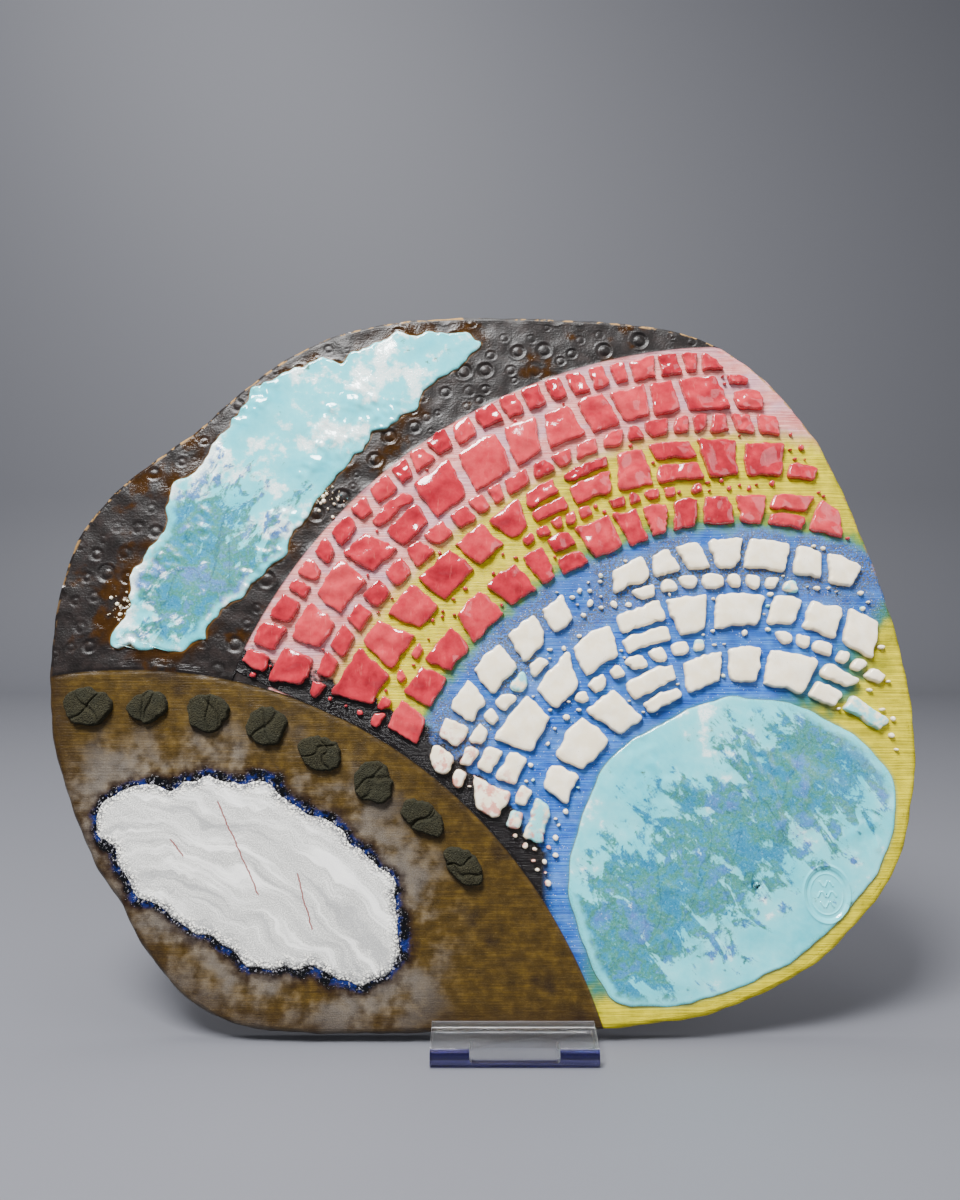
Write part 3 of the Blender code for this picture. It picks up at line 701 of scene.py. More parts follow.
def crumbs(outlines, band, count, sizes, seed):
    """Return the outlines of small crumbs of clay in the wide joints of a band."""
    own = np.random.default_rng(seed)
    taken = np.vstack([resample(loop, 0.0015) for loop in outlines])
    found = []
    for _ in range(count * 60):
        if len(found) == count:
            break
        angle = own.uniform(0, math.tau)
        spot = FAN + own.uniform(*band) * np.array((math.cos(angle), math.sin(angle)))
        radius = own.uniform(*sizes)
        if np.linalg.norm(spot - DOME) < DOME_RADIUS + 0.005:
            continue
        if distance_to(rim_line, spot[None])[0] < 0.005:
            continue
        if np.min(np.linalg.norm(taken - spot, axis=1)) < radius * 1.25 + 0.0004:
            continue
        if any(distance_to(loop, spot[None])[0] > 0 for loop in outlines):
            continue
        corners = own.integers(4, 7)
        turns = np.arange(corners) * math.tau / corners + own.uniform(0, 1)
        reach = radius * own.uniform(0.70, 1.15, corners)
        loop = lump(spot, turns, reach, own.uniform(0.55, 1.1))
        found.append(loop)
        taken = np.vstack([taken, loop])
    return found


def foam_spots():
    """Return the outlines of small beads of foam that spat out of the crescent pool."""
    own = np.random.default_rng(71)
    found = []
    spots = []
    for share, count, reach in ((0.22, 90, 0.010), (0.50, 70, 0.008), (0.80, 90, 0.010)):
        middle = crescent_outline[int(share * len(crescent_outline))]
        for _ in range(count):
            spot = middle + own.normal(0, reach * 0.5, 2)
            radius = 0.0003 + 0.0011 * own.uniform() ** 2
            if distance_to(crescent_outline, spot[None])[0] > -radius * 0.3:
                continue
            if distance_to(rim_line, spot[None])[0] < 0.003:
                continue
            if np.linalg.norm(spot - FAN) < FAN_RADIUS + 0.001:
                continue
            if spots and min(np.linalg.norm(spot - other) for other in spots) < radius * 1.7:
                continue
            spots.append(spot)
            turns = np.arange(8) * math.tau / 8
            found.append(lump(spot, turns, radius * own.uniform(0.8, 1.1, 8)))
    return found


add_chips("cream_chips", cream_outlines, height=CREAM_HEIGHT, ease=0.0011, spacing=0.00075,
          rough=0.010, tilt=0.014, rings=(5, 4), cut=0.0003, spare=0.0007)
add_chips("coral_chips", coral_outlines, height=CORAL_HEIGHT, ease=0.0008, spacing=0.00080,
          rough=0.034, tilt=0.036, rings=(4, 6), cut=0.0003, spare=0.0003)
add_chips("charcoal_pads", [cut_corners(loop, 1) for loop in pad_outlines], height=PAD_HEIGHT,
          ease=0.0010, spacing=0.00055, rough=0.018, tilt=0.014, rings=(5, 17), cut=0.00040,
          grooves=2)
add_chips("cream_crumbs", crumbs(cream_outlines, CREAM_BAND, 80, (0.0012, 0.0024), 61),
          height=0.0019, ease=0.0006, spacing=0.0005, rough=0.010, tilt=0.02, rings=(3, 2),
          cut=0.00010)
add_chips("foam_beads", foam_spots(), height=0.0011, ease=0.0005, spacing=0.00035, rough=0.010,
          tilt=0.0, rings=(3, 2), cut=0.00005)
add_chips("coral_crumbs", crumbs(coral_outlines, CORAL_BAND, 110, (0.0011, 0.0021), 62),
          height=0.0018, ease=0.0004, spacing=0.0005, rough=0.020, tilt=0.03, rings=(3, 2),
          cut=0.00010)


# The stand

def sheet_copy(node):
    """Return a copy of the stand with its cut edges eased, as polishing leaves them."""
    item = bpy.data.objects.new("stand_sheet", node.data.copy())
    bpy.context.scene.collection.objects.link(item)
    item.data.materials.clear()
    weld = item.modifiers.new("join", "WELD")
    weld.merge_threshold = 0.00001
    bevel = item.modifiers.new("ease", "BEVEL")
    bevel.width = 0.00025
    bevel.segments = 2
    bevel.limit_method = "ANGLE"
    bevel.angle_limit = math.radians(40)
    return item


pieces["stand_sheet"] = sheet_copy(NODES["display_stand"])


# Shader nodes

def rgb(code):
    """Return a linear colour from a web colour."""
    parts = [int(code[index:index + 2], 16) / 255 for index in (1, 3, 5)]
    return tuple(part / 12.92 if part <= 0.04045 else ((part + 0.055) / 1.055) ** 2.4
                 for part in parts) + (1.0,)


class Shading:
    """Adds shader nodes to a tree and links them."""

    def __init__(self, tree):
        self.tree = tree

    def node(self, kind, inputs=None, **settings):
        """Add a node with its settings, and feed its inputs."""
        made = self.tree.nodes.new(kind)
        for name, value in settings.items():
            setattr(made, name, value)
        for key, value in (inputs or {}).items():
            self.feed(made.inputs[key], value)
        return made

    def feed(self, socket, value):
        """Give a socket a link, a web colour or a value."""
        if isinstance(value, bpy.types.NodeSocket):
            self.tree.links.new(value, socket)
        elif isinstance(value, str):
            socket.default_value = rgb(value)
        else:
            socket.default_value = value

    def calc(self, operation, a, b=0.0, c=0.0):
        """Work out one step of arithmetic."""
        made = self.node("ShaderNodeMath", {0: a, 1: b, 2: c}, operation=operation)
        return made.outputs[0]

    def product(self, *values):
        """Multiply values together."""
        result = values[0]
        for value in values[1:]:
            result = self.calc("MULTIPLY", result, value)
        return result

    def total(self, *values):
        """Add values up."""
        result = values[0]
        for value in values[1:]:
            result = self.calc("ADD", result, value)
        return result

    def scaled(self, value, factor, shift):
        """Multiply a value by a factor and add a shift."""
        return self.calc("MULTIPLY_ADD", value, factor, shift)

    def weighted(self, a, share_a, b, share_b):
        """Add two values by their shares."""
        return self.scaled(a, share_a, self.calc("MULTIPLY", b, share_b))

    def swayed(self, value, *sways):
        """Shift a value by noises, each given with the whole reach of its sway."""
        for noise, reach in sways:
            value = self.calc("ADD", value, self.scaled(noise, reach, -reach / 2))
        return value

    def rising(self, value, low, high):
        """Return 0 below low, 1 above high and a smooth change between, or the reverse."""
        made = self.node("ShaderNodeMapRange", {"Value": value, "From Min": low, "From Max": high},
                         interpolation_type="SMOOTHSTEP")
        return made.outputs["Result"]

    def between(self, value, low, high, soft):
        """Return 1 between two values and 0 outside."""
        return self.product(self.rising(value, low - soft, low + soft),
                            self.rising(value, high + soft, high - soft))

    def near_half(self, value, wide, narrow):
        """Return 1 where a noise is close to its middle, which draws thin lines."""
        away = self.calc("ABSOLUTE", self.calc("SUBTRACT", value, 0.5))
        return self.rising(away, wide, narrow)

    def mix(self, share, low, high):
        """Mix two colours."""
        made = self.node("ShaderNodeMix", data_type="RGBA")
        self.feed(made.inputs["Factor"], share)
        self.feed(made.inputs[6], low)
        self.feed(made.inputs[7], high)
        return made.outputs[2]

    def tint(self, colour, over, *masks):
        """Lay one colour over another where all the masks are high."""
        return self.mix(self.product(*masks), colour, over)

    def blend(self, share, low, high):
        """Mix two values."""
        made = self.node("ShaderNodeMix", data_type="FLOAT")
        self.feed(made.inputs["Factor"], share)
        self.feed(made.inputs[2], low)
        self.feed(made.inputs[3], high)
        return made.outputs[0]

    def stretch(self, vector, factors):
        """Multiply a vector by three factors."""
        made = self.node("ShaderNodeVectorMath", {0: vector, 1: factors}, operation="MULTIPLY")
        return made.outputs[0]

    def noise(self, vector, scale, detail=3.0, roughness=0.55, distortion=0.0):
        """Add a noise."""
        made = self.node("ShaderNodeTexNoise", {
            "Vector": vector, "Scale": scale, "Detail": detail, "Roughness": roughness,
            "Distortion": distortion})
        return made.outputs["Fac"]

    def cells(self, vector, scale):
        """Return the distance to the nearest of many scattered points."""
        made = self.node("ShaderNodeTexVoronoi", {"Vector": vector, "Scale": scale})
        return made.outputs["Distance"]

    def ramp(self, value, *stops):
        """Run a value through a row of colours."""
        made = self.node("ShaderNodeValToRGB", {"Fac": value})
        elements = made.color_ramp.elements
        while len(elements) < len(stops):
            elements.new(0.5)
        for element, (place, code) in zip(elements, stops):
            element.position = place
            element.color = rgb(code)
        return made.outputs["Color"]

    def parts(self, vector):
        """Return the three parts of a vector."""
        return self.node("ShaderNodeSeparateXYZ", {"Vector": vector}).outputs

    def joined(self, **parts):
        """Return a vector from its parts."""
        return self.node("ShaderNodeCombineXYZ", parts).outputs["Vector"]

    def kept(self, name):
        """Return a vector kept on the mesh, in millimetres."""
        made = self.node("ShaderNodeAttribute", attribute_name=name)
        return self.stretch(made.outputs["Vector"], (1000.0, 1000.0, 1000.0))

    def turned(self, u, v, start, end):
        """Return how far a place is along a line and to its side, and the line's length."""
        length = math.hypot(end[0] - start[0], end[1] - start[1])
        aim = ((end[0] - start[0]) / length, (end[1] - start[1]) / length)
        along = self.weighted(u, aim[0], v, aim[1])
        along = self.calc("SUBTRACT", along, start[0] * aim[0] + start[1] * aim[1])
        side = self.weighted(u, -aim[1], v, aim[0])
        return along, side, start[1] * aim[0] - start[0] * aim[1], length

    def crack(self, u, v, start, end):
        """Return a thin wavering line between two places on the face, in millimetres."""
        along, side, offset, length = self.turned(u, v, start, end)
        run = self.joined(X=along)
        side = self.swayed(self.calc("SUBTRACT", side, offset), (self.noise(run, 0.12), 3.0))
        width = self.scaled(self.noise(run, 0.5), 0.5, 0.10)
        near = self.calc("LESS_THAN", self.calc("ABSOLUTE", side), width)
        return self.product(near, self.between(along, 0.0, length, 0.5))

    def effect(self, name, place, output):
        """Place one of the shared effects and return one of its outputs."""
        made = self.node("ShaderNodeGroup", {}, node_tree=bpy.data.node_groups[name])
        self.feed(made.inputs["Place"], place)
        return made.outputs[output]


def start_effect(name, outputs):
    """Start a group of shader nodes that takes a place in millimetres."""
    tree = bpy.data.node_groups.new(name, "ShaderNodeTree")
    tree.interface.new_socket(name="Place", in_out="INPUT", socket_type="NodeSocketVector")
    for output in outputs:
        tree.interface.new_socket(name=output, in_out="OUTPUT", socket_type="NodeSocketFloat")
    place = tree.nodes.new("NodeGroupInput").outputs["Place"]
    return Shading(tree), place, tree.nodes.new("NodeGroupOutput").inputs


def make_effects():
    """Make the effects that several finishes share."""
    s, place, ends = start_effect("brush marks", ("Lines", "Haze"))
    lines = s.noise(s.stretch(place, (0.035, 1.25, 0.0)), 1.0, 4.0, 0.62, 0.3)
    s.feed(ends["Lines"], s.rising(lines, 0.30, 0.70))
    haze = s.noise(s.stretch(place, (0.022, 0.085, 0.0)), 1.0, 3.0, 0.55, 0.6)
    s.feed(ends["Haze"], s.rising(haze, 0.42, 0.68))

    s, place, ends = start_effect("specks", ("Light", "Dark"))
    s.feed(ends["Light"], s.rising(s.cells(place, 0.62), 0.16, 0.09))
    s.feed(ends["Dark"], s.rising(s.cells(place, 0.83), 0.20, 0.10))

    s, place, ends = start_effect("grit", ("Grain", "Lumps"))
    s.feed(ends["Grain"], s.noise(place, 2.4, 3.0, 0.7))
    s.feed(ends["Lumps"], s.rising(s.cells(place, 1.15), 0.05, 0.62))

    s, place, ends = start_effect("froth", ("Bubbles",))
    sway = s.node("ShaderNodeTexNoise", {"Vector": place, "Scale": 0.4}).outputs["Color"]
    moved = s.node("ShaderNodeVectorMath", {0: place, 1: s.stretch(sway, (1.5, 1.5, 0.0))},
                   operation="ADD")
    s.feed(ends["Bubbles"], s.rising(s.cells(moved.outputs[0], 0.75), 0.52, 0.30))


make_effects()


def start_finish(name, coat=0.0, shine=0.5):
    """Start a material and return it with its shading helper and its shader."""
    material = bpy.data.materials.new(name)
    material.use_nodes = True
    shader = material.node_tree.nodes["Principled BSDF"]
    shader.inputs["Metallic"].default_value = 0.0
    shader.inputs["Specular IOR Level"].default_value = shine
    shader.inputs["Coat Weight"].default_value = coat
    shader.inputs["Coat Roughness"].default_value = 0.06
    return material, Shading(material.node_tree), shader


def end_finish(s, shader, colour, roughness, height, depth):
    """Feed the shader its colour, roughness and fine relief, in millimetres."""
    s.feed(shader.inputs["Base Color"], colour)
    s.feed(shader.inputs["Roughness"], roughness)
    bump = s.node("ShaderNodeBump", {"Height": height, "Distance": depth / 1000, "Strength": 1.0})
    s.feed(shader.inputs["Normal"], bump.outputs["Normal"])


# Finishes

def ground_finish():
    """The glazes and bare clays between the chips: one finish for the whole ground."""
    material, s, shader = start_finish("ground_glaze", shine=0.28)
    place = s.kept("place")
    u, v, h = s.parts(place)
    fan_gap, dome_gap, rim_gap = s.parts(s.kept("bands"))
    crackle_gap, crescent_gap, round_gap = s.parts(s.kept("marks"))
    flat = s.stretch(place, (1.0, 1.0, 0.0))
    slow = s.noise(flat, 0.035)
    medium = s.noise(flat, 0.16)
    fine = s.noise(flat, 0.9)
    lines = s.effect("brush marks", flat, "Lines")
    haze = s.effect("brush marks", flat, "Haze")
    light_specks = s.effect("specks", flat, "Light")
    dark_specks = s.effect("specks", flat, "Dark")
    grain = s.effect("grit", flat, "Grain")
    bubbles = s.effect("froth", flat, "Bubbles")
    streaks = s.weighted(lines, 0.35, medium, 0.65)
    radius = s.swayed(fan_gap, (medium, 12.0))

    # Brushed blue, yellow and pink under the fan of chips
    blue = s.ramp(streaks, (0.30, "#123f94"), (0.50, "#1f5cb6"), (0.72, "#4080cc"))
    blue = s.tint(blue, "#6f9cd6", haze, 0.30)
    blue = s.tint(blue, "#12407c", s.rising(slow, 0.58, 0.44), 0.35)
    blue = s.tint(blue, "#dfe8f2", light_specks, 0.5)
    sand = s.mix(s.rising(grain, 0.35, 0.65), "#23262a", "#6c7074")
    sand = s.tint(sand, "#d9dad4", light_specks)
    yellow = s.ramp(streaks, (0.30, "#9a8e00"), (0.50, "#bcae00"), (0.72, "#d8c800"))
    olive = s.tint(yellow, "#55640a", haze, 0.7)
    pink = s.ramp(streaks, (0.30, "#b0605c"), (0.50, "#cc807a"), (0.72, "#e2a49a"))
    pink = s.tint(pink, "#a89ab2", haze, 0.45)
    pink = s.tint(pink, "#f1e6e2", light_specks, 0.25)
    sandy = s.product(s.between(radius, 146.0, 178.0, 8.0), s.rising(fine, 0.42, 0.56),
                      s.rising(slow, 0.38, 0.52))
    fan = s.tint(blue, sand, sandy)
    fan = s.tint(fan, "#4c7c3c", s.rising(radius, 174.0, 182.0))
    fan = s.tint(fan, olive, s.rising(radius, 179.0, 188.0))
    fan = s.tint(fan, yellow, s.rising(radius, 184.0, 196.0))
    slope = s.swayed(s.weighted(u, 0.9, v, -0.8), (slow, 60.0), (medium, 14.0))
    inner = s.rising(radius, 206.0, 190.0)
    fan = s.tint(fan, "#2f6c50", s.rising(slope, 10.0, 32.0), inner)
    fan = s.tint(fan, olive, s.rising(slope, 26.0, 44.0), inner)
    fan = s.tint(fan, yellow, s.rising(slope, 36.0, 60.0), inner)
    fan = s.tint(fan, pink, s.rising(radius, 220.0, 236.0))
    fan = s.tint(fan, "#2c7c74", s.rising(round_gap, 1.8, 0.2), 0.35)

    # A black band along the dome
    soot = s.scaled(medium, 20.0, DOME_MM + 4.0)
    black = s.product(s.rising(dome_gap, s.total(soot, 5.0), soot),
                      s.rising(fan_gap, 96.0, 104.0))
    fan = s.tint(fan, s.mix(fine, "#050406", "#151010"), black)

    # Dark clay with runs of amber
    amber = s.rising(s.total(slow, s.product(medium, 0.25)), 0.68, 0.80)
    amber = s.calc("MAXIMUM", amber, s.product(s.rising(crescent_gap, 9.0, 1.0),
                                               s.rising(slow, 0.46, 0.60)))
    dark = s.ramp(medium, (0.25, "#0c0908"), (0.5, "#171211"), (0.75, "#271f1d"))
    dark = s.tint(dark, s.mix(medium, "#180b02", "#432804"), amber, 0.85)
    dark = s.tint(dark, "#8e8580", light_specks, 0.10)
    dark = s.tint(dark, "#5a3c14", s.rising(crescent_gap, 1.1, 0.2), 0.7)

    # Olive-brown dome with scratches, fog and a blue-black frothy ring round its pool
    dome = s.ramp(s.weighted(lines, 0.16, medium, 0.84),
                  (0.28, "#271b05"), (0.5, "#3a2a08"), (0.74, "#544012"))
    dome = s.tint(dome, "#1c1108", s.rising(slow, 0.50, 0.66), 0.8)
    dome = s.tint(dome, "#1d0f08", s.rising(rim_gap, 16.0, 2.0), 0.6)
    scratch = s.noise(s.stretch(flat, (0.05, 0.7, 0.0)), 1.0, 5.0, 0.7, 2.2)
    dome = s.tint(dome, "#a88f58", s.between(scratch, 0.494, 0.499, 0.003), fine, 0.7)
    dome = s.tint(dome, "#8a7440", s.rising(grain, 0.60, 0.70), 0.35)
    misty = s.weighted(slow, 0.75, medium, 0.25)
    fog = s.product(s.rising(crackle_gap, 40.0, 7.0), s.rising(misty, 0.44, 0.60),
                    s.scaled(s.rising(grain, 0.36, 0.62), 0.7, 0.3))
    dome = s.tint(dome, s.mix(medium, "#5d5a58", "#8d8478"), fog, 0.62)
    ring = s.swayed(crackle_gap, (medium, 9.0), (slow, 16.0))
    dome = s.tint(dome, "#1c0d08", s.rising(ring, 9.0, 3.5), 0.8)
    halo = s.rising(s.swayed(ring, (fine, 3.0)), 5.0, 1.8)
    halo = s.calc("MAXIMUM", halo, s.rising(crackle_gap, 1.6, 0.7))
    dome = s.tint(dome, s.mix(s.rising(medium, 0.48, 0.62), "#040508", "#101f58"), halo)
    froth = s.product(s.rising(s.swayed(crackle_gap, (medium, 5.0)), 2.6, 0.8),
                      s.rising(bubbles, 0.55, 0.9), s.rising(fine, 0.44, 0.56))
    dome = s.tint(dome, "#9a98a0", froth, 0.8)

    in_dome = s.rising(dome_gap, DOME_MM + 0.6, DOME_MM - 0.4)
    in_fan = s.product(s.rising(fan_gap, FAN_MM + 0.8, FAN_MM - 0.6),
                       s.rising(dome_gap, DOME_MM - 0.4, DOME_MM + 0.6))
    colour = s.tint(dark, fan, in_fan)
    colour = s.tint(colour, dome, in_dome)

    # Worn and flaked rim, sides darkened with painted shade, and bare clay behind
    upper = s.rising(h, -3.0, -1.2)
    worn = s.product(s.rising(rim_gap, 2.4, 0.9), s.rising(medium, 0.50, 0.56),
                     s.rising(v, 150.0, 290.0), upper)
    colour = s.tint(colour, s.mix(fine, "#6a4a20", "#b08a50"), worn)
    colour = s.tint(colour, "#eae4e2", s.rising(rim_gap, 7.0, 2.0),
                    s.rising(s.noise(flat, 0.11, 5.0, 0.7), 0.67, 0.70),
                    s.rising(u, -20.0, -60.0), s.rising(v, 180.0, 230.0), upper)
    # Painted shade: below the front's rounding the slab's sides are darkened towards black brown,
    # as the rolled edge falls into shade.
    body = s.mix(medium, "#180d08", "#362216")
    colour = s.tint(colour, s.mix(0.35, body, s.mix(0.5, colour, "#120b07")),
                    s.rising(h, -1.2, -4.0))
    clay = s.mix(s.rising(grain, 0.3, 0.7), "#84633f", "#b08e66")
    clay = s.tint(clay, "#cdb994", light_specks, 0.6)
    clay = s.tint(clay, "#33231a", dark_specks, 0.7)
    clay = s.tint(clay, s.mix(0.4, clay, "#5e4430"), s.rising(slow, 0.4, 0.70))
    clay = s.tint(clay, "#4a2c18", s.rising(rim_gap, 14.0, 3.0), s.rising(medium, 0.40, 0.60), 0.6)
    clay = s.tint(clay, "#c4ab86", haze, 0.25)
    back = s.rising(h, -10.2, -11.6)
    colour = s.tint(colour, clay, back)

    rough = s.blend(in_fan, s.blend(amber, 0.38, 0.12), s.blend(black, 0.33, 0.14))
    rough = s.blend(s.product(in_fan, sandy), rough, 0.75)
    rough = s.blend(in_dome, rough, s.blend(fog, 0.34, 0.58))
    rough = s.blend(s.product(in_dome, halo), rough, 0.16)
    rough = s.swayed(rough, (fine, 0.16))
    rough = s.blend(s.calc("MAXIMUM", back, worn), rough, 0.88)
    bumps = s.total(
        s.product(lines, s.blend(in_fan, s.blend(in_dome, 0.12, 0.30), 0.75)),
        s.product(sandy, in_fan, grain, 1.6),
        s.product(black, in_fan, grain, 1.2),
        s.product(bubbles, halo, in_dome, 1.8),
        s.product(fine, s.blend(in_fan, s.blend(in_dome, 1.1, 0.5), 0.1)),
        s.product(back, s.effect("grit", place, "Lumps"), 1.2))
    end_finish(s, shader, colour, rough, bumps, 0.16)
    return material


def turquoise_finish(name, foam_low, stain_from, stain_to, stain_ends):
    """Thick turquoise glaze with foam, and feathery blue-green stain across its middle."""
    material, s, shader = start_finish(name, coat=0.35)
    place = s.kept("place")
    u, v = s.parts(place)[:2]
    inside = s.parts(s.kept("marks"))[0]
    flat = s.stretch(place, (1.0, 1.0, 0.0))
    slow = s.noise(flat, 0.030, 4.0, 0.6)
    medium = s.noise(flat, 0.13, 4.0, 0.62)
    fine = s.noise(flat, 1.1, 4.0, 0.7)
    colour = s.ramp(s.weighted(slow, 0.7, medium, 0.3),
                    (0.36, "#45c0cf"), (0.50, "#66d0da"), (0.64, "#8cdde2"))
    foam = s.rising(s.weighted(medium, 0.45, slow, 0.75), foam_low, foam_low + 0.10)
    colour = s.tint(colour, s.mix(s.rising(fine, 0.36, 0.58), "#c4f0ec", "#fbfffe"), foam, 0.92)

    along, side, _, reach = s.turned(u, v, stain_from, stain_to)
    drift = s.joined(X=s.product(along, 0.050), Y=s.product(side, 0.110))
    feather = s.noise(drift, 1.0, 5.0, 0.62, 0.9)
    share = s.calc("DIVIDE", along, reach)
    share = s.swayed(share, (feather, 0.8), (medium, 0.45), (fine, 0.14))
    stain = s.product(s.between(share, *stain_ends, 0.035),
                      s.rising(s.swayed(inside, (medium, 10.0)), 1.5, 6.0))
    grains = s.noise(s.stretch(flat, (0.8, 0.8, 0.0)), 1.0, 5.0, 0.75, 0.8)
    mottle = s.ramp(s.weighted(slow, 0.5, medium, 0.5),
                    (0.36, "#0a6a96"), (0.45, "#15789c"), (0.51, "#3a7a62"), (0.56, "#2a74a8"),
                    (0.66, "#3560b4"))
    mottle = s.tint(mottle, "#0c3646", s.rising(grains, 0.52, 0.66), 0.7)
    mottle = s.tint(mottle, "#8ccfd6", s.rising(grains, 0.46, 0.34), 0.32)
    stem = s.noise(s.stretch(flat, (0.8, 0.45, 0.0)), 0.040, 2.0, 0.4, 0.9)
    twig = s.product(s.near_half(s.noise(flat, 0.12, 3.0, 0.5, 1.0), 0.012, 0.002),
                     s.rising(slow, 0.50, 0.58), 0.7)
    branch = s.calc("MAXIMUM", s.near_half(stem, 0.010, 0.003), twig)
    mottle = s.tint(mottle, "#16304a", branch, s.rising(fine, 0.38, 0.56), 0.55)
    colour = s.tint(colour, mottle, stain, 0.94)

    burnt = s.product(s.rising(s.noise(flat, 0.040, 6.0, 0.70), 0.63, 0.69),
                      s.rising(stain, 0.5, 0.0))
    colour = s.tint(colour, s.mix(fine, "#4a6a30", "#4e2a04"), burnt, 0.9)
    thin = s.product(s.rising(s.swayed(inside, (slow, 9.0)), 2.2, 0.4),
                     s.rising(fine, 0.40, 0.60))
    colour = s.tint(colour, "#3f9a90", thin, 0.45)
    colour = s.tint(colour, "#6a5626", s.rising(inside, 0.55, 0.12), 0.85)
    rough = s.blend(stain, s.blend(foam, 0.07, 0.12), 0.24)
    bumps = s.total(s.product(foam, s.effect("froth", flat, "Bubbles"), 0.35),
                    s.product(stain, grains, 0.8), s.product(medium, 1.2))
    end_finish(s, shader, colour, rough, bumps, 0.13)
    return material


def crackle_finish():
    """Matt white crawled glaze with grey grain, pale strokes, a frothy edge and thin cracks."""
    material, s, shader = start_finish("crackle_glaze")
    place = s.kept("place")
    u, v = s.parts(place)[:2]
    dome_gap = s.parts(s.kept("bands"))[1]
    inside = s.parts(s.kept("marks"))[0]
    flat = s.stretch(place, (1.0, 1.0, 0.0))
    slow = s.noise(flat, 0.035, 3.0, 0.5, 0.5)
    medium = s.noise(flat, 0.20, 4.0)
    fine = s.noise(flat, 0.9)
    grain = s.noise(flat, 1.9, 3.0, 0.75)
    bubbles = s.effect("froth", flat, "Bubbles")
    stroke = s.joined(X=s.scaled(dome_gap, 0.16, s.product(slow, 4.0)), Y=s.product(u, 0.012))
    swirl = s.noise(stroke, 1.0, 4.0, 0.62, 0.4)
    colour = s.tint("#f2f1ec", "#8f8f8c", s.rising(grain, 0.34, 0.60), 0.9)
    colour = s.tint(colour, "#fbfaf6", s.rising(swirl, 0.50, 0.64), 0.75)
    colour = s.tint(colour, "#7f8082", s.rising(swirl, 0.47, 0.36), 0.50)
    edge_gap = s.swayed(inside, (medium, 7.0))
    froth = s.product(s.rising(edge_gap, 7.0, 1.5), bubbles)
    colour = s.tint(colour, "#fffbf0", froth, 0.9)
    pits = s.product(s.rising(edge_gap, 4.5, 0.5), s.rising(bubbles, 0.45, 0.15),
                     s.rising(fine, 0.40, 0.55))
    colour = s.tint(colour, "#22222c", pits, 0.9)
    cracks = s.crack(u, v, *CRACKS[0])
    for ends in CRACKS[1:]:
        cracks = s.calc("MAXIMUM", cracks, s.crack(u, v, *ends))
    colour = s.tint(colour, "#7c2c26", cracks, 0.9)
    bumps = s.total(s.product(grain, 0.8), s.product(swirl, 2.2), s.product(froth, 2.0),
                    s.product(cracks, -1.2), s.product(pits, -1.8))
    end_finish(s, shader, colour, s.blend(froth, 0.62, 0.30), bumps, 0.15)
    return material


def cream_finish():
    """Cream-white gloss, with blushes by the dome, a turquoise tint on a few chips and painted
    shade at their feet.
    """
    material, s, shader = start_finish("cream_glaze", coat=0.3)
    place = s.kept("place")
    dome_gap = s.parts(s.kept("bands"))[1]
    rise, tone = s.parts(s.kept("marks"))[:2]
    medium = s.noise(place, 0.18)
    fine = s.noise(place, 0.8)
    colour = s.mix(s.rising(medium, 0.35, 0.65), "#f8e8c8", "#fff4dc")
    # Painted shade: tan darkening towards each chip's foot, where it meets the ground.
    colour = s.tint(colour, "#bda97c", s.rising(rise, 800.0, 100.0), 0.55)
    colour = s.tint(colour, "#84d4d8", s.rising(tone, 90.0, 86.0), s.rising(medium, 0.36, 0.56))
    colour = s.tint(colour, s.mix(fine, "#c23c34", "#e8a090"),
                    s.rising(dome_gap, DOME_MM + 33.0, DOME_MM + 17.0),
                    s.rising(s.noise(place, 0.24, 4.0), 0.47, 0.60), 0.8)
    colour = s.tint(colour, "#7a6844", s.effect("specks", place, "Dark"),
                    s.rising(medium, 0.58, 0.64), 0.5)
    end_finish(s, shader, colour, s.scaled(fine, 0.10, 0.08), medium, 0.10)
    return material


def coral_finish():
    """Coral-red gloss, paler where it is thin on the chips' edges, and darker at their feet, where
    the glaze pools and shade is painted.
    """
    material, s, shader = start_finish("coral_glaze", coat=0.35)
    place = s.kept("place")
    rise, tone = s.parts(s.kept("marks"))[:2]
    medium = s.noise(place, 0.22)
    fine = s.noise(place, 0.9)
    colour = s.ramp(s.weighted(tone, 0.00035, medium, 0.75),
                    (0.25, "#8c1422"), (0.48, "#ab2030"), (0.75, "#c43a42"))
    colour = s.tint(colour, "#e08a80", s.between(rise, 480.0, 900.0, 120.0),
                    s.rising(fine, 0.40, 0.60), 0.38)
    # Painted shade, together with pooled glaze: deep red towards each chip's foot.
    colour = s.tint(colour, "#5c0e18", s.rising(rise, 300.0, 20.0), 0.6)
    streak = s.noise(s.stretch(place, (0.5, 0.12, 0.0)), 1.0)
    colour = s.tint(colour, "#d8645e", s.rising(streak, 0.60, 0.72), 0.30)
    end_finish(s, shader, colour, s.scaled(fine, 0.10, 0.06), medium, 0.22)
    return material


def charcoal_finish():
    """Matt coarse charcoal clay."""
    material, s, shader = start_finish("charcoal_clay", shine=0.2)
    place = s.kept("place")
    grain = s.effect("grit", place, "Grain")
    colour = s.mix(s.rising(grain, 0.35, 0.68), "#15130a", "#343221")
    colour = s.tint(colour, "#23241a", s.rising(s.noise(place, 0.12), 0.42, 0.62), 0.5)
    colour = s.tint(colour, "#6d6b5c", s.effect("specks", place, "Light"), 0.30)
    bumps = s.total(grain, s.product(s.effect("grit", place, "Lumps"), 1.1))
    end_finish(s, shader, colour, 0.93, bumps, 0.32)
    return material


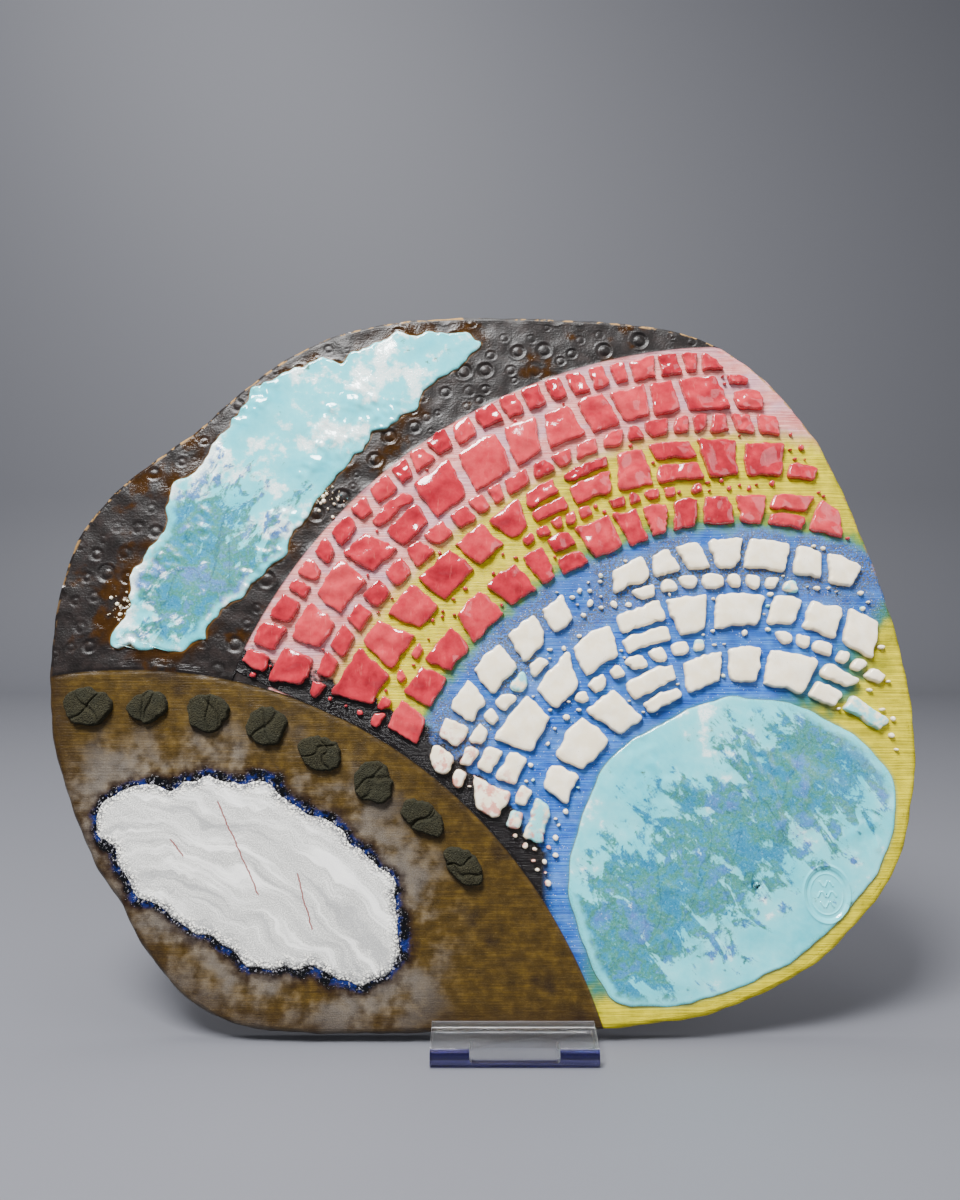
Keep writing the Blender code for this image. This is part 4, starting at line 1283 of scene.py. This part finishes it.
def acrylic_finish():
    """Clear acrylic, deep violet-blue in the front wall, with painted highlights in white along
    its cut edges.
    """
    material, s, shader = start_finish("clear_acrylic")
    places = s.node("ShaderNodeTexCoord").outputs
    y, z = s.parts(s.stretch(places["Object"], (1000.0, 1000.0, 1000.0)))[1:]
    front = s.product(s.rising(y, -14.0, -16.0), s.rising(z, 8.8, 8.3))
    # Painted highlight: the side, lip and foot edges are made white and nearly opaque, standing in
    # for the bright lines light draws along them. They are also given a rougher finish.
    side_edge = s.rising(s.calc("ABSOLUTE", s.parts(places["Normal"])[0]), 0.3, 0.6)
    lip_edge = s.product(s.between(y, 3.6, 5.2, 0.2), s.between(z, 8.0, 13.0, 0.5))
    foot_edge = s.product(s.rising(y, -18.3, -18.8), s.rising(z, 0.7, 0.3))
    cut = s.calc("MAXIMUM", s.calc("MAXIMUM", side_edge, lip_edge), foot_edge)
    colour = s.tint(s.mix(front, "#f4f6fb", "#221c70"), "#ffffff", cut, 0.9)
    s.feed(shader.inputs["Base Color"], colour)
    s.feed(shader.inputs["Alpha"], s.blend(cut, s.blend(front, 0.17, 0.94), 0.95))
    s.feed(shader.inputs["Roughness"], s.blend(cut, 0.03, 0.35))
    shader.inputs["Transmission Weight"].default_value = 1.0
    shader.inputs["IOR"].default_value = 1.49
    return material


ground = ground_finish()
crescent_glaze = turquoise_finish(
    "foamed_turquoise", 0.60, (-40.0, 330.0), (-195.0, 150.0), (0.46, 0.80))
round_glaze = turquoise_finish(
    "round_turquoise", 0.68, (190.0, 20.0), (80.0, 150.0), (0.40, 0.74))
cream = cream_finish()
coral = coral_finish()
FINISHES = {
    "fan_ground": (ground, "glazed_stoneware"),
    "stamped_ground": (ground, "glazed_stoneware"),
    "dome_ground": (ground, "glazed_stoneware"),
    "slab_body": (ground, "glazed_stoneware"),
    "crescent_pool": (crescent_glaze, "turquoise_glaze"),
    "round_pool": (round_glaze, "turquoise_glaze"),
    "seal": (round_glaze, "turquoise_glaze"),
    "crackle_pool": (crackle_finish(), "crackle_glaze"),
    "cream_chips": (cream, "cream_glaze"),
    "cream_crumbs": (cream, "cream_glaze"),
    "foam_beads": (cream, "cream_glaze"),
    "coral_chips": (coral, "coral_glaze"),
    "coral_crumbs": (coral, "coral_glaze"),
    "charcoal_pads": (charcoal_finish(), "charcoal_clay"),
    "stand_sheet": (acrylic_finish(), "clear_acrylic"),
}
for name, piece in pieces.items():
    finish, slot_name = FINISHES[name]
    piece.data.materials.append(finish)
    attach(piece, "root")
    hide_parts("display_stand" if name == "stand_sheet" else "ceramic_tile")


# The room

FLOOR_REACH = 9.0
WALL_HEIGHT = 6.0
WALL_START = 1.7
WALL_CURVE = 0.5
WALL_STEPS = 12


def backdrop():
    """Make a pale floor that curves up into a wall."""
    line = [(-FLOOR_REACH, 0.0), (WALL_START, 0.0)]
    for step in range(1, WALL_STEPS + 1):
        turn = math.pi / 2 * step / WALL_STEPS
        line.append((WALL_START + WALL_CURVE * math.sin(turn), WALL_CURVE * (1 - math.cos(turn))))
    line.append((WALL_START + WALL_CURVE, WALL_HEIGHT))
    points = [(x, y, z) for y, z in line for x in (-FLOOR_REACH, FLOOR_REACH)]
    faces = [[2 * k, 2 * k + 1, 2 * k + 3, 2 * k + 2] for k in range(len(line) - 1)]
    return mesh_object("floor", points, faces)


paint, _, paint_shader = start_finish("pale_paint", shine=0.3)
paint_shader.inputs["Base Color"].default_value = rgb("#616268")
paint_shader.inputs["Roughness"].default_value = 0.6
floor = backdrop()
floor.data.materials.append(paint)


def lamp(name, place, aim, size, power):
    """Add a soft lamp that lights the scene without showing in it."""
    data = bpy.data.lights.new(name, "AREA")
    data.shape = "RECTANGLE"
    data.size, data.size_y = size
    data.energy = power
    item = bpy.data.objects.new(name, data)
    bpy.context.scene.collection.objects.link(item)
    item.location = place
    item.visible_camera = False
    item.rotation_euler = (Vector(aim) - Vector(place)).to_track_quat("-Z", "Y").to_euler()


lamp("key", (-0.45, -0.75, 1.55), (0.0, 0.05, 0.15), (0.55, 0.55), 84)
lamp("fill", (1.3, -1.3, 0.9), (0.0, 0.05, 0.15), (1.2, 1.2), 12)
lamp("wall", (-0.9, 0.6, 2.5), (-0.9, 2.2, 1.9), (1.2, 0.5), 52)
lamp("top", (-0.2, 0.1, 2.1), (0.0, 0.10, 0.0), (1.4, 1.4), 42)

world = bpy.data.worlds.new("room")
world.use_nodes = True
world.node_tree.nodes["Background"].inputs["Color"].default_value = (0.62, 0.63, 0.66, 1.0)
world.node_tree.nodes["Background"].inputs["Strength"].default_value = 0.46
bpy.context.scene.world = world

camera_data = bpy.data.cameras.new("camera")
camera_data.lens = 28.86
camera_data.sensor_width = 36.0
camera_data.dof.use_dof = False
camera = bpy.data.objects.new("camera", camera_data)
camera.location = (-0.0155, -0.447, 0.209)
camera.rotation_euler = (math.radians(90), 0.0, 0.0)
bpy.context.scene.collection.objects.link(camera)
bpy.context.scene.camera = camera
